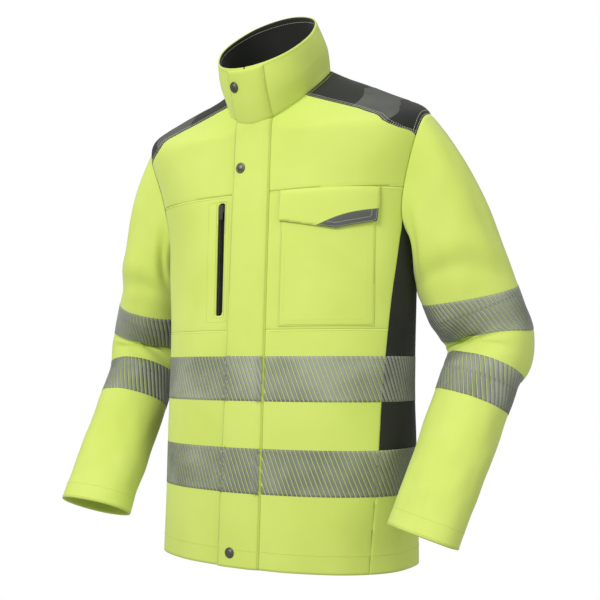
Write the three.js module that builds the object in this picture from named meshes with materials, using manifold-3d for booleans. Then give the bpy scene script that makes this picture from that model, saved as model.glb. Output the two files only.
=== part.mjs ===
// A hip-length high-visibility work jacket, closed, in the shape it takes when worn.
// Millimetres. +Z is up, the front faces -Y and the wearer's left is +X.
// z = 0 is the height where the shoulder seam meets the side of the neck.
// Every layer of the body is cut from one shared net of points, so that panels, pockets, tapes and
// flaps that lie over each other keep a constant distance. Each sleeve has a net of its own.
import * as THREE from "three";
import { mergeVertices } from "three/addons/utils/BufferGeometryUtils.js";
import Module from "manifold-3d";

const wasm = await Module();
wasm.setup();

// ---------------------------------------------------------------- body sizes
const BODY_LENGTH = 700; // side of the neck down to the hem
const ARMPIT_DROP = 245;
const SHOULDER_DROP = 73; // side of the neck down to the shoulder tip
const SHOULDER_HALF = 235; // half the width across the shoulders
const CHEST_HALF = 201;
const WAIST_HALF = 198;
const HEM_HALF = 205;
const NECK_HALF = 80;
const NECK_FRONT_DROP = 81;
const NECK_FRONT_Y = -105;
const NECK_BACK_Y = 35;
const NECK_BACK_RISE = 15;
const FRONT_LINE_TOP = { y: -104, z: -90 }; // the front hangs on a straight line from here to the hem
const HEM_FRONT_Y = -137;
const HEM_BACK_Y = 112;
const CHEST_BACK_Y = 106;
const COLLAR_RISE = 100;
const COLLAR_HALF = 74; // the collar's rim leans forwards
const COLLAR_FRONT = { y: -130, z: -8 };
const COLLAR_SIDE = { y: -69, z: 45 };
const COLLAR_BACK = { y: -8, z: 98 };
const BODY_SQUARENESS = 2.3; // 2 is an ellipse
const BODY_COLUMNS = 44;

// ---------------------------------------------------------------- seams and trims
const SEAM = 0.5; // gap between two panels that are sewn edge to edge
const CLEARANCE = 0.35; // gap between two layers
const FABRIC = 2; // shell fabric with its lining bonded on
const TAPE_WIDTH = 62;
const TAPE_THICK = 0.65;
const LOWER_TAPE_RISE = 103; // hem up to the lower tape
const UPPER_TAPE_RISE = 230; // hem up to the upper tape
const CHEST_SEAM_DROP = 179;
const LOWER_SEAM_DROP = 371;
const ZIP_GAP_HALF = 7; // half the gap between the two fronts
const REFLECTOR_THICK = 0.6;

// ---------------------------------------------------------------- storm flap and collar tab
const FLAP_SEAM_X = 28; // the flap is sewn to the wearer's left front here
const FLAP_EDGE_TOP_X = -30;
const FLAP_EDGE_HEM_X = -40;
const FLAP_LIFT = 3.2; // room under the flap for the snaps
const FLAP_TOP_BELOW_NECK = 6;
const TAB_EDGE_X = -28;
const TAB_MARGIN = 5; // collar rim and neck seam to the tab's edges
const SNAP_X = -17;
const SNAP_DROPS = { collar: 31, chest: 143, hem: BODY_LENGTH - 20 };
const SNAP_RADIUS = 7.5;
const SNAP_DOME = 2.6;
const SOCKET_RADIUS = 5.5;
const KNOB_RADIUS = 2.2;
const KNOB_CLEARANCE = 0.4;

// ---------------------------------------------------------------- pockets
const PATCH = { left: 47, right: 170, bottom: 367, thick: 1.6 };
const POCKET_FLAP = [
  // corners as x and drop, wearer's left chest, round from the top inner one
  [44, 179],
  [44, 221],
  [125, 236],
  [172, 226],
  [178, 179],
];
const POCKET_FLAP_THICK = 1.8;
const FLAP_TRIM_EDGE = [
  // the reflective corner lies below this line
  [100, 232],
  [176, 209],
];
const CHEST_ZIP = { x: -52, top: 183, bottom: 350, slot: 12, tape: 27, tapeThick: 0.8 };
const POCKET_BAG = { outer: -79, inner: -36, top: 186, bottom: 365, thick: 0.9 };

// ---------------------------------------------------------------- zips
const BEAD_HALF = 2.6; // half the width of the closed teeth
const BEAD_DEEP = 2;
const ZIP_TAPE_OUT = 20; // front zip tape's outer edge
const ZIP_TAPE_THICK = 0.8;
const SLIDER = { length: 11, wall: 1.5, plate: 1.2 };
const PULL = { width: 7, length: 21, thick: 1.2 };
const STOP = { width: 10, length: 8, deep: 3 };

// ---------------------------------------------------------------- sleeves
const ARMHOLE = { angle: 1, halfAngle: 22, scale: 60, squareness: 2.7 }; // degrees, mm per unit
const SLEEVE_START = new THREE.Vector3(CHEST_HALF + 12, -5, -160); // the left sleeve's axis
const ELBOW = new THREE.Vector3(CHEST_HALF + 95, 42, -395);
const CUFF = new THREE.Vector3(CHEST_HALF + 64, -133, -634);
const BEND_RADIUS = 55;
const BICEPS = { out: 66, front: 62 };
const ELBOW_SIZE = { out: 66, front: 64 };
const FOREARM = { out: 57, front: 56 };
const CUFF_SIZE = { out: 54, front: 40 };
const SLEEVE_TAPE = 61; // width of a sleeve tape
const CREASE = 0.32; // how far the inside of the elbow is pressed in
const CREASE_ANGLE = -29; // degrees round the sleeve from its front
const CREASE_REACH = 62;
const CUFF_FACING = { length: 38, thick: 1.2 };
const SLEEVE_COLUMNS = 20;

// ---------------------------------------------------------------- collar lining and loop
const LINING_THICK = 1.1;
const LOOP = { halfWidth: 32, droop: 12, tall: 6, thick: 1.4, aboveNeck: 16 };

// ---------------------------------------------------------------- colours
const cloth = (name, color, roughness = 0.85, metalness = 0) =>
  new THREE.MeshStandardMaterial({ name, color, roughness, metalness });
const YELLOW = cloth("yellow", 0xdcea70);
const BLACK = cloth("black", 0x32352e);
const SILVER = cloth("silver", 0xb4b8aa, 0.45);
const GREY = cloth("grey", 0x61655d, 0.5);
const DARK = cloth("dark", 0x2b2d2b, 0.6);
const GUNMETAL = cloth("gunmetal", 0x4c4e40, 0.35, 0.9);

const rad = THREE.MathUtils.degToRad;
const jacket = new THREE.Group();

// ================================================================ helpers

// A smooth curve through points that never overshoots them.
function curveThrough(xs, ys) {
  const slope = xs.slice(1).map((x, i) => (ys[i + 1] - ys[i]) / (x - xs[i]));
  const tangent = ys.map((_, i) => {
    if (i === 0) return slope[0];
    if (i === ys.length - 1) return slope[i - 1];
    const [a, b] = [slope[i - 1], slope[i]];
    return a * b <= 0 ? 0 : (2 * a * b) / (a + b);
  });
  return (x) => {
    let i = xs.findIndex((edge, k) => k > 0 && x <= edge) - 1;
    if (i < 0) i = x <= xs[0] ? 0 : xs.length - 2;
    const width = xs[i + 1] - xs[i];
    const s = (x - xs[i]) / width;
    const [s2, s3] = [s * s, s * s * s];
    return (
      ys[i] * (2 * s3 - 3 * s2 + 1) +
      ys[i + 1] * (3 * s2 - 2 * s3) +
      width * (tangent[i] * (s3 - 2 * s2 + s) + tangent[i + 1] * (s3 - s2))
    );
  };
}

// A net of points in rows and columns, with a normal at each point and outward triangles.
// pointAt(row, column) gives a THREE.Vector3; about(row, column) gives the facts that cuts read.
function makeNet(rows, columns, pointAt, about, inward) {
  const net = { points: [], normals: [], facts: [], triangles: [], rows, columns };
  for (let j = 0; j < rows; j++)
    for (let i = 0; i < columns; i++) {
      net.points.push(pointAt(j, i));
      net.normals.push(new THREE.Vector3());
      net.facts.push(about(j, i));
    }
  for (let j = 0; j + 1 < rows; j++)
    for (let i = 0; i < columns; i++) {
      const a = j * columns + i;
      const b = j * columns + ((i + 1) % columns);
      const [d, c] = [a + columns, b + columns];
      const left = i < columns / 2;
      const pair = left ? [[a, b, c], [a, c, d]] : [[a, b, d], [b, c, d]];
      for (const tri of pair) net.triangles.push({ ids: inward ? tri.reverse() : tri, left });
    }
  for (const { ids } of net.triangles) {
    const [p, q, r] = ids.map((id) => net.points[id]);
    const normal = q.clone().sub(p).cross(r.clone().sub(p));
    ids.forEach((id) => net.normals[id].add(normal));
  }
  net.normals.forEach((n) => n.normalize());
  return net;
}

const layerPoint = (net, ids, weights, lift) =>
  ids.reduce((sum, id, k) => {
    sum.addScaledVector(net.points[id], weights[k]);
    return sum.addScaledVector(net.normals[id], weights[k] * lift);
  }, new THREE.Vector3());

// The part of one triangle where every cut is positive, as corners in weights of its three points.
function trimmedCorners(net, triangle, cuts) {
  let corners = [[1, 0, 0], [0, 1, 0], [0, 0, 1]];
  for (const cut of cuts) {
    const values = triangle.ids.map((id) => {
      const value = cut({ ...net.facts[id], p: net.points[id] }, triangle.left);
      return Math.abs(value) < 0.1 ? 0 : value; // avoids slivers
    });
    const at = (w) => w[0] * values[0] + w[1] * values[1] + w[2] * values[2];
    const kept = [];
    corners.forEach((w, k) => {
      const next = corners[(k + 1) % corners.length];
      const [here, there] = [at(w), at(next)];
      if (here >= 0) kept.push(w);
      if ((here > 1e-9 && there < -1e-9) || (here < -1e-9 && there > 1e-9)) {
        const share = here / (here - there);
        kept.push(w.map((value, n) => value + (next[n] - value) * share));
      }
    });
    corners = kept;
    if (corners.length < 3) return [];
  }
  return corners;
}

// A closed solid: the net between two lifts above its surface, where every cut is positive.
function layer(net, low, high, cuts = []) {
  const seen = new Map();
  const corners = []; // [ids, weights]
  const faces = [];
  const cornerOf = (ids, weights) => {
    const used = ids.map((id, k) => [id, weights[k]]).filter(([, w]) => w > 1e-6);
    used.sort((a, b) => a[0] - b[0]);
    const key = used.map(([id, w]) => id + ":" + w.toFixed(6)).join();
    if (!seen.has(key)) {
      seen.set(key, corners.length);
      corners.push([used.map(([id]) => id), used.map(([, w]) => w)]);
    }
    return seen.get(key);
  };
  for (const triangle of net.triangles) {
    const ring = trimmedCorners(net, triangle, cuts).map((w) => cornerOf(triangle.ids, w));
    const clean = ring.filter((id, k) => id !== ring[(k + 1) % ring.length]);
    for (let k = 1; k + 1 < clean.length; k++) faces.push([clean[0], clean[k], clean[k + 1]]);
  }
  const count = corners.length;
  const positions = [high, low].flatMap((lift) =>
    corners.flatMap(([ids, weights]) => layerPoint(net, ids, weights, lift).toArray()),
  );
  const edges = new Set(faces.flatMap(([a, b, c]) => [`${a},${b}`, `${b},${c}`, `${c},${a}`]));
  const index = [];
  for (const [a, b, c] of faces) {
    index.push(a, b, c, count + a, count + c, count + b);
    for (const [from, to] of [[a, b], [b, c], [c, a]])
      if (!edges.has(`${to},${from}`)) index.push(to, from, count + from, to, count + from, count + to);
  }
  const geometry = new THREE.BufferGeometry();
  geometry.setAttribute("position", new THREE.Float32BufferAttribute(positions, 3));
  geometry.setIndex(index);
  return geometry;
}

function add(name, geometry, material) {
  const mesh = new THREE.Mesh(geometry, material);
  mesh.name = name;
  jacket.add(mesh);
  return mesh;
}

function toSolid(geometry) {
  const bare = geometry.clone();
  bare.deleteAttribute("normal");
  bare.deleteAttribute("uv");
  const merged = mergeVertices(bare, 1e-4);
  const vertProperties = merged.attributes.position.array;
  const triVerts = new Uint32Array(merged.index.array);
  return new wasm.Manifold(new wasm.Mesh({ numProp: 3, vertProperties, triVerts }));
}

function toGeometry(solid) {
  const { vertProperties, triVerts } = solid.getMesh();
  const geometry = new THREE.BufferGeometry();
  geometry.setAttribute("position", new THREE.BufferAttribute(new Float32Array(vertProperties), 3));
  geometry.setIndex(new THREE.BufferAttribute(new Uint32Array(triVerts), 1));
  return geometry;
}

// ================================================================ the body's net

const frontLine = (z) => {
  const { y, z: start } = FRONT_LINE_TOP;
  return y + ((HEM_FRONT_Y - y) * (z - start)) / (-BODY_LENGTH - start);
};

// Rings from the hem up: height up the side, half width, then y and z at front, side and back.
function flatRing(z, half, backY) {
  const frontY = frontLine(z);
  const sideY = (frontY + backY) / 2;
  return { up: z, half, front: [frontY, z], side: [sideY, z], back: [backY, z] };
}
const waist = (share) => -ARMPIT_DROP + (ARMPIT_DROP - BODY_LENGTH) * share;
const neckUp = SHOULDER_HALF - NECK_HALF - SHOULDER_DROP + 15;
const RINGS = [
  flatRing(-BODY_LENGTH, HEM_HALF, HEM_BACK_Y),
  flatRing(waist(0.637), (HEM_HALF + WAIST_HALF) / 2, HEM_BACK_Y - 8),
  flatRing(waist(0.43), WAIST_HALF, HEM_BACK_Y - 11),
  flatRing(waist(0.187), WAIST_HALF, CHEST_BACK_Y - 2),
  flatRing(-ARMPIT_DROP, CHEST_HALF, CHEST_BACK_Y),
  {
    up: -160,
    half: CHEST_HALF + 14,
    front: [frontLine(-170), -170],
    side: [-6, -160],
    back: [CHEST_BACK_Y - 2, -150],
  },
  {
    up: -100,
    half: SHOULDER_HALF - 5,
    front: [frontLine(-120), -120],
    side: [-14, -100],
    back: [92, -90],
  },
  {
    up: -SHOULDER_DROP,
    half: SHOULDER_HALF,
    front: [frontLine(-100), -100],
    side: [-20, -SHOULDER_DROP],
    back: [78, -50],
  },
  {
    up: 50 - SHOULDER_DROP,
    half: SHOULDER_HALF - 47,
    front: [frontLine(-94), -94],
    side: [-22, 21 - SHOULDER_DROP],
    back: [64, -24],
  },
  {
    up: neckUp,
    half: NECK_HALF,
    front: [NECK_FRONT_Y, -NECK_FRONT_DROP],
    side: [-32, -3],
    back: [NECK_BACK_Y, NECK_BACK_RISE],
  },
];
const RIM = {
  up: neckUp + COLLAR_RISE,
  half: COLLAR_HALF,
  front: [COLLAR_FRONT.y, COLLAR_FRONT.z],
  side: [COLLAR_SIDE.y, COLLAR_SIDE.z],
  back: [COLLAR_BACK.y, COLLAR_BACK.z],
};

const ringValues = (ring) => [ring.half, ...ring.front, ...ring.side, ...ring.back];
const bodyCurves = ringValues(RINGS[0]).map((_, k) =>
  curveThrough(
    RINGS.map((ring) => ring.up),
    RINGS.map((ring) => ringValues(ring)[k]),
  ),
);
const collarCurves = ringValues(RIM).map((value, k) =>
  curveThrough([neckUp, RIM.up], [ringValues(RINGS.at(-1))[k], value]),
);

// A point of the shell's outer surface. angle is 0 at the wearer's left and -90 at the front.
function bodyPoint(angle, up) {
  const curves = up > neckUp ? collarCurves : bodyCurves;
  const [half, frontY, frontZ, sideY, sideZ, backY, backZ] = curves.map((curve) => curve(up));
  const [c, s] = [Math.cos(rad(angle)), Math.sin(rad(angle))];
  const neckness = THREE.MathUtils.clamp((up + SHOULDER_DROP) / (neckUp + SHOULDER_DROP), 0, 1);
  const n = THREE.MathUtils.lerp(BODY_SQUARENESS, 2, neckness);
  const swell = (Math.abs(c) ** n + Math.abs(s) ** n) ** (-1 / n);
  const [C, S] = [c * swell, s * swell];
  const between = (front, side, back) =>
    side + ((back - front) / 2) * S + ((back + front) / 2 - side) * S * S;
  return new THREE.Vector3(half * C, between(frontY, sideY, backY), between(frontZ, sideZ, backZ));
}

const lowerTape = -BODY_LENGTH + LOWER_TAPE_RISE;
const upperTape = -BODY_LENGTH + UPPER_TAPE_RISE;
const armholeHeight = (ARMPIT_DROP - SHOULDER_DROP) / 2;
const armholeUp = -(ARMPIT_DROP + SHOULDER_DROP) / 2;
const armholeRow = (share) => armholeUp + armholeHeight * share;
const BODY_ROWS = [
  -BODY_LENGTH,
  lowerTape,
  lowerTape + TAPE_WIDTH,
  upperTape,
  upperTape + TAPE_WIDTH,
  (upperTape + TAPE_WIDTH - ARMPIT_DROP) / 2,
  ...[-1, -0.67, -0.34, 0, 0.34, 0.67, 1].map(armholeRow),
  50 - SHOULDER_DROP,
  (50 - SHOULDER_DROP + neckUp) / 2,
  neckUp,
  (neckUp + RIM.up) / 2,
  RIM.up,
];
const bodyAngle = (column) => {
  const even = (column / BODY_COLUMNS) * 2 * Math.PI - Math.PI / 2;
  return THREE.MathUtils.radToDeg(even - 0.18 * Math.sin(2 * even)); // closer at the sides
};
// around runs from -90 at the front to 90 at the back on either side
const around = (angle) => (angle > 90 ? 180 - angle : angle);
const body = makeNet(
  BODY_ROWS.length,
  BODY_COLUMNS,
  (j, i) => bodyPoint(bodyAngle(i), BODY_ROWS[j]),
  (j, i) => ({ angle: around(bodyAngle(i)), up: BODY_ROWS[j] }),
  false,
);

// The three net points and weights below a point on the front, given by x and z.
function frontSpot(x, z) {
  for (const { ids } of body.triangles) {
    const facts = ids.map((id) => body.facts[id]);
    if (facts.some((f) => f.angle > 1)) continue;
    const [a, b, c] = ids.map((id) => body.points[id]);
    const area = (b.x - a.x) * (c.z - a.z) - (c.x - a.x) * (b.z - a.z);
    const wb = ((x - a.x) * (c.z - a.z) - (c.x - a.x) * (z - a.z)) / area;
    const wc = ((b.x - a.x) * (z - a.z) - (x - a.x) * (b.z - a.z)) / area;
    if (wb > -1e-9 && wc > -1e-9 && wb + wc < 1 + 1e-9) {
      const normal = b.clone().sub(a).cross(c.clone().sub(a)).normalize();
      return { ids, weights: [1 - wb - wc, wb, wc], normal };
    }
  }
  throw new Error(`no front surface at x ${x}, z ${z}`);
}
function frontPoint(x, z, lift) {
  const { ids, weights } = frontSpot(x, z);
  return layerPoint(body, ids, weights, lift);
}

// ================================================================ cuts of the body

const perDegree = 2.9; // mm round the body's side for each degree
const gap = SEAM / 2;
const above = (z) => ({ p }) => p.z - z;
const below = (z) => ({ p }) => z - p.z;
const higher = (up) => (f) => f.up - up;
const lower = (up) => (f) => up - f.up;
const onLeft = (_, left) => (left ? 1 : -1);
const onRight = (_, left) => (left ? -1 : 1);
const inFront = ({ angle }) => -angle;

// Edges of the black side panels and shoulder yokes, in degrees round from the side.
const frontEdge = (up) => {
  if (up > -110) return -22;
  if (up > -235) return THREE.MathUtils.mapLinear(up, -235, -110, -17, -22);
  return -(17 + 19 * ((-235 - up) / (BODY_LENGTH - 235)) ** 0.8);
};
const backEdge = (up) => {
  if (up > -100) return 28;
  if (up > -235) return THREE.MathUtils.mapLinear(up, -235, -100, 20, 28);
  return 20 + 10 * ((-235 - up) / (BODY_LENGTH - 235));
};
const beforeSide = (f) => (frontEdge(f.up) - f.angle) * perDegree - gap;
const behindSide = (f) => (f.angle - backEdge(f.up)) * perDegree - gap;
const atSide = [
  (f) => (f.angle - frontEdge(f.up)) * perDegree - gap,
  (f) => (backEdge(f.up) - f.angle) * perDegree - gap,
];
const fromArmhole = (f) => {
  const round = Math.abs(f.angle - ARMHOLE.angle) / ARMHOLE.halfAngle;
  const rise = Math.abs(f.up - armholeUp) / armholeHeight;
  const n = ARMHOLE.squareness;
  return ((round ** n + rise ** n) ** (1 / n) - 1) * ARMHOLE.scale;
};
const clearOfArmhole = (f) => fromArmhole(f) - gap;
const belowCollar = lower(neckUp - gap);
const besideZip = ({ p }) => Math.abs(p.x) - ZIP_GAP_HALF;

// ================================================================ shell panels

function shell(name, material, cuts) {
  add(name, layer(body, -FABRIC, 0, cuts), material);
}
const chestSeam = -CHEST_SEAM_DROP;
const lowerSeam = -LOWER_SEAM_DROP;
const sides = [["left", onLeft], ["right", onRight]];

for (const [side, onSide] of sides) {
  const front = [onSide, inFront, besideZip, beforeSide];
  shell(`${side}_front_yoke`, YELLOW, [...front, above(chestSeam + gap), clearOfArmhole, belowCollar]);
  if (side === "left")
    shell("left_chest_panel", YELLOW, [
      ...front,
      below(chestSeam - gap),
      above(lowerSeam + gap),
      clearOfArmhole,
    ]);
  shell(`${side}_lower_front`, YELLOW, [...front, below(lowerSeam - gap)]);
  shell(`${side}_side_panel`, BLACK, [
    onSide,
    ...atSide,
    above(lowerTape + TAPE_WIDTH + gap),
    lower(armholeRow(-0.1)),
    clearOfArmhole,
  ]);
  shell(`${side}_side_hem`, YELLOW, [onSide, ...atSide, below(lowerTape + TAPE_WIDTH - gap)]);
  shell(`${side}_shoulder_yoke`, BLACK, [
    onSide,
    ...atSide,
    higher(armholeRow(0.1)),
    clearOfArmhole,
    belowCollar,
  ]);
}
shell("back_yoke", YELLOW, [behindSide, above(chestSeam + gap), clearOfArmhole, belowCollar]);
shell("back_panel", YELLOW, [behindSide, below(chestSeam - gap), clearOfArmhole]);

// ================================================================ chest zip pocket, wearer's right

// A frame on the front: x across, y outwards and z up the line from one spot to another.
function frontFrame(x, fromZ, toZ) {
  const [from, to] = [frontPoint(x, fromZ, 0), frontPoint(x, toZ, 0)];
  const upward = to.clone().sub(from).normalize();
  const normal = frontSpot(x, (fromZ + toZ) / 2).normal;
  const across = normal.clone().cross(upward).normalize();
  const outward = upward.clone().cross(across);
  const frame = new THREE.Group();
  frame.position.copy(from);
  frame.quaternion.setFromRotationMatrix(new THREE.Matrix4().makeBasis(across, outward, upward));
  frame.updateMatrixWorld(true);
  return { frame, length: from.distanceTo(to) };
}

// A box in a frame: x from x0 to x1, lift from y0 to y1 and height from z0 to z1.
function boxGeometry([x0, x1], [y0, y1], [z0, z1]) {
  const box = new THREE.BoxGeometry(x1 - x0, y1 - y0, z1 - z0);
  return box.translate((x0 + x1) / 2, (y0 + y1) / 2, (z0 + z1) / 2);
}
function addIn({ frame }, name, geometry, material) {
  return add(name, geometry.applyMatrix4(frame.matrixWorld), material);
}

// The slider's channel over the teeth, with its plate on top.
function sliderGeometry(beadTop, legEnd, z0) {
  const inner = BEAD_HALF + CLEARANCE;
  const outer = inner + SLIDER.wall;
  const roof = beadTop + CLEARANCE;
  const outline = [
    [-outer, legEnd],
    [-inner, legEnd],
    [-inner, roof],
    [inner, roof],
    [inner, legEnd],
    [outer, legEnd],
    [outer, roof + SLIDER.plate],
    [-outer, roof + SLIDER.plate],
  ].map(([x, y]) => new THREE.Vector2(x, y));
  const channel = new THREE.ExtrudeGeometry(new THREE.Shape(outline), {
    depth: SLIDER.length,
    bevelEnabled: false,
  });
  return channel.translate(0, 0, z0);
}

const chestZip = frontFrame(CHEST_ZIP.x, -CHEST_ZIP.bottom, -CHEST_ZIP.top);
const zipTapeTop = -FABRIC - 3 * CLEARANCE;
const chestBeadTop = zipTapeTop + CLEARANCE + BEAD_DEEP;
const slot = boxGeometry([-CHEST_ZIP.slot / 2, CHEST_ZIP.slot / 2], [-8, 8], [0, chestZip.length - 6]);
const rightChest = layer(body, -FABRIC, 0, [
  onRight,
  inFront,
  besideZip,
  beforeSide,
  below(chestSeam - gap),
  above(lowerSeam + gap),
  clearOfArmhole,
]);
add(
  "right_chest_panel",
  toGeometry(toSolid(rightChest).subtract(toSolid(slot.applyMatrix4(chestZip.frame.matrixWorld)))),
  YELLOW,
);
addIn(
  chestZip,
  "chest_zip_tape",
  boxGeometry(
    [-CHEST_ZIP.tape / 2, CHEST_ZIP.tape / 2],
    [zipTapeTop - CHEST_ZIP.tapeThick, zipTapeTop],
    [-6, chestZip.length],
  ),
  BLACK,
);
addIn(
  chestZip,
  "chest_zip_teeth",
  boxGeometry([-BEAD_HALF, BEAD_HALF], [chestBeadTop - BEAD_DEEP, chestBeadTop], [1, chestZip.length - 8]),
  DARK,
);
const chestSliderZ = chestZip.length - 8 - SLIDER.length - 1;
addIn(
  chestZip,
  "chest_zip_slider",
  sliderGeometry(chestBeadTop, zipTapeTop + CLEARANCE, chestSliderZ),
  DARK,
);
const pullLift = chestBeadTop + 2 * CLEARANCE + SLIDER.plate;
addIn(
  chestZip,
  "chest_zip_pull",
  boxGeometry(
    [-PULL.width / 2, PULL.width / 2],
    [pullLift, pullLift + PULL.thick],
    [chestSliderZ + SLIDER.length - PULL.length, chestSliderZ + SLIDER.length],
  ),
  BLACK,
);
const bagTop = zipTapeTop - CHEST_ZIP.tapeThick - 2 * CLEARANCE;
add(
  "chest_pocket_bag",
  layer(body, bagTop - POCKET_BAG.thick, bagTop, [
    onRight,
    inFront,
    ({ p }) => p.x - POCKET_BAG.outer,
    ({ p }) => POCKET_BAG.inner - p.x,
    below(-POCKET_BAG.top),
    above(-POCKET_BAG.bottom),
  ]),
  BLACK,
);

// ================================================================ patch pocket, wearer's left

const patchTop = CLEARANCE + PATCH.thick;
add(
  "chest_pocket",
  layer(body, CLEARANCE, patchTop, [
    onLeft,
    inFront,
    ({ p }) => p.x - PATCH.left,
    ({ p }) => PATCH.right - p.x,
    below(chestSeam - gap),
    above(-PATCH.bottom),
  ]),
  YELLOW,
);
// Keeps the right-hand side of the line from one corner to the next, seen from the front.
const besideLine = ([x0, drop0], [x1, drop1]) => {
  const [dx, dz] = [x1 - x0, drop0 - drop1];
  const length = Math.hypot(dx, dz);
  return ({ p }) => (dx * (p.z + drop0) - dz * (p.x - x0)) / length;
};
const flapOutline = POCKET_FLAP.map((corner, k) =>
  besideLine(corner, POCKET_FLAP[(k + 1) % POCKET_FLAP.length]),
);
const pocketFlapLift = patchTop + CLEARANCE;
const pocketFlapTop = pocketFlapLift + POCKET_FLAP_THICK;
add("pocket_flap", layer(body, pocketFlapLift, pocketFlapTop, [onLeft, inFront, ...flapOutline]), YELLOW);
const belowTrimEdge = besideLine(FLAP_TRIM_EDGE[1], FLAP_TRIM_EDGE[0]);
const trimLift = pocketFlapTop + CLEARANCE;
add(
  "pocket_flap_trim",
  layer(body, trimLift, trimLift + REFLECTOR_THICK, [onLeft, inFront, ...flapOutline, belowTrimEdge]),
  GREY,
);

// ================================================================ storm flap and collar tab

const flapEdge = (z) =>
  THREE.MathUtils.mapLinear(z, -NECK_FRONT_DROP, -BODY_LENGTH, FLAP_EDGE_TOP_X, FLAP_EDGE_HEM_X);
const flapWidth = [({ p }) => p.x - flapEdge(p.z), ({ p }) => FLAP_SEAM_X - p.x];
const flapTop = FLAP_LIFT + FABRIC;
add(
  "storm_flap",
  layer(body, FLAP_LIFT, flapTop, [
    inFront,
    ...flapWidth,
    lower(neckUp),
    below(-NECK_FRONT_DROP - FLAP_TOP_BELOW_NECK),
  ]),
  YELLOW,
);
add(
  "collar_tab",
  layer(body, FLAP_LIFT, flapTop, [
    inFront,
    ({ p }) => p.x - TAB_EDGE_X,
    ({ p }) => FLAP_SEAM_X - p.x,
    higher(neckUp + TAB_MARGIN),
    lower(RIM.up - TAB_MARGIN),
  ]),
  YELLOW,
);

// ================================================================ reflective tapes of the body

const tapeLift = CLEARANCE + TAPE_THICK;
const flapTapeLift = flapTop + CLEARANCE;
const pastFlap = (f, left) => {
  if (f.angle > 0) return 100;
  return left ? f.p.x - FLAP_SEAM_X - SEAM : -f.p.x - ZIP_GAP_HALF;
};
for (const [name, bottom] of [["upper", upperTape], ["lower", lowerTape]]) {
  const band = [above(bottom), below(bottom + TAPE_WIDTH)];
  add(`${name}_body_tape`, layer(body, CLEARANCE, tapeLift, [...band, pastFlap]), SILVER);
  const onFlap = [inFront, ...flapWidth, ...band];
  add(`${name}_flap_tape`, layer(body, flapTapeLift, flapTapeLift + TAPE_THICK, onFlap), SILVER);
}

// The grey inset of each shoulder yoke.
const yokeLength = neckUp + SHOULDER_DROP;
for (const [side, onSide] of sides)
  add(
    `${side}_shoulder_reflector`,
    layer(body, CLEARANCE, CLEARANCE + REFLECTOR_THICK, [
      onSide,
      (f) => (f.angle + 17) * perDegree,
      (f) => (23 - f.angle) * perDegree,
      higher(-SHOULDER_DROP + 0.35 * yokeLength),
      lower(neckUp - 0.25 * yokeLength),
    ]),
    GREY,
  );

// ================================================================ collar

const collarCuts = [higher(neckUp + SEAM), (f, left) => (f.angle > 0 ? 100 : besideCollarEdge(f, left))];
function besideCollarEdge({ p }, left) {
  return (left ? p.x : -p.x) - SEAM * 2;
}
add("collar", layer(body, -FABRIC, 0, collarCuts), YELLOW);
const liningTop = -FABRIC - CLEARANCE;
add("collar_lining", layer(body, liningTop - LINING_THICK, liningTop, collarCuts), BLACK);

// The hanger loop, a strip whose ends lie on the lining at the back of the neck.
const LINING_SLOPE = 1.25; // level distance through the leaning collar, for each mm of depth
function hangerLoop() {
  const level = neckUp + LOOP.aboveNeck;
  const reach = LOOP.halfWidth;
  const inner = liningTop - LINING_THICK;
  const lining = (x) => {
    const angle = 90 - THREE.MathUtils.radToDeg(Math.asin(x / COLLAR_HALF));
    return bodyPoint(angle, level).y + inner * LINING_SLOPE - 2 * CLEARANCE;
  };
  const outline = new THREE.Shape();
  const steps = 12;
  const across = Array.from({ length: steps + 1 }, (_, k) => reach * (1 - (2 * k) / steps));
  const sag = (x) => LOOP.droop * (1 - (x / reach) ** 4);
  across.forEach((x, k) => {
    const y = lining(x) - sag(x);
    if (k === 0) outline.moveTo(x, y);
    else outline.lineTo(x, y);
  });
  [...across].reverse().forEach((x) => outline.lineTo(x, lining(x) - sag(x) - LOOP.thick));
  const strip = new THREE.ExtrudeGeometry(outline, { depth: LOOP.tall, bevelEnabled: false });
  return strip.translate(0, 0, bodyPoint(90, level).z - LOOP.tall / 2);
}
add("hanger_loop", hangerLoop(), BLACK);

// ================================================================ front zip

const zipBottom = -BODY_LENGTH + STOP.length + 4;
const zipTop = -NECK_FRONT_DROP - 13;
for (const [side, onSide] of sides)
  add(
    `${side}_front_zip_tape`,
    layer(body, -FABRIC - CLEARANCE - ZIP_TAPE_THICK, -FABRIC - CLEARANCE, [
      onSide,
      inFront,
      lower(neckUp),
      ({ p }) => Math.abs(p.x) - BEAD_HALF - CLEARANCE,
      ({ p }) => ZIP_TAPE_OUT - Math.abs(p.x),
      above(zipBottom),
      below(zipTop),
    ]),
    BLACK,
  );
const frontZip = frontFrame(0, -BODY_LENGTH + 2, zipTop);
const beadTop = -FABRIC + BEAD_DEEP / 2;
addIn(
  frontZip,
  "front_zip_teeth",
  boxGeometry([-BEAD_HALF, BEAD_HALF], [beadTop - BEAD_DEEP, beadTop], [STOP.length + 2, frontZip.length - 2]),
  DARK,
);
const frontSliderZ = frontZip.length - 3 - SLIDER.length;
addIn(
  frontZip,
  "front_zip_slider",
  sliderGeometry(beadTop, -FABRIC, frontSliderZ),
  DARK,
);
addIn(
  frontZip,
  "front_zip_box",
  boxGeometry(
    [-STOP.width / 2, STOP.width / 2],
    [beadTop - STOP.deep, beadTop],
    [1, STOP.length + 1.5],
  ),
  DARK,
);

// ================================================================ snaps

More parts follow.
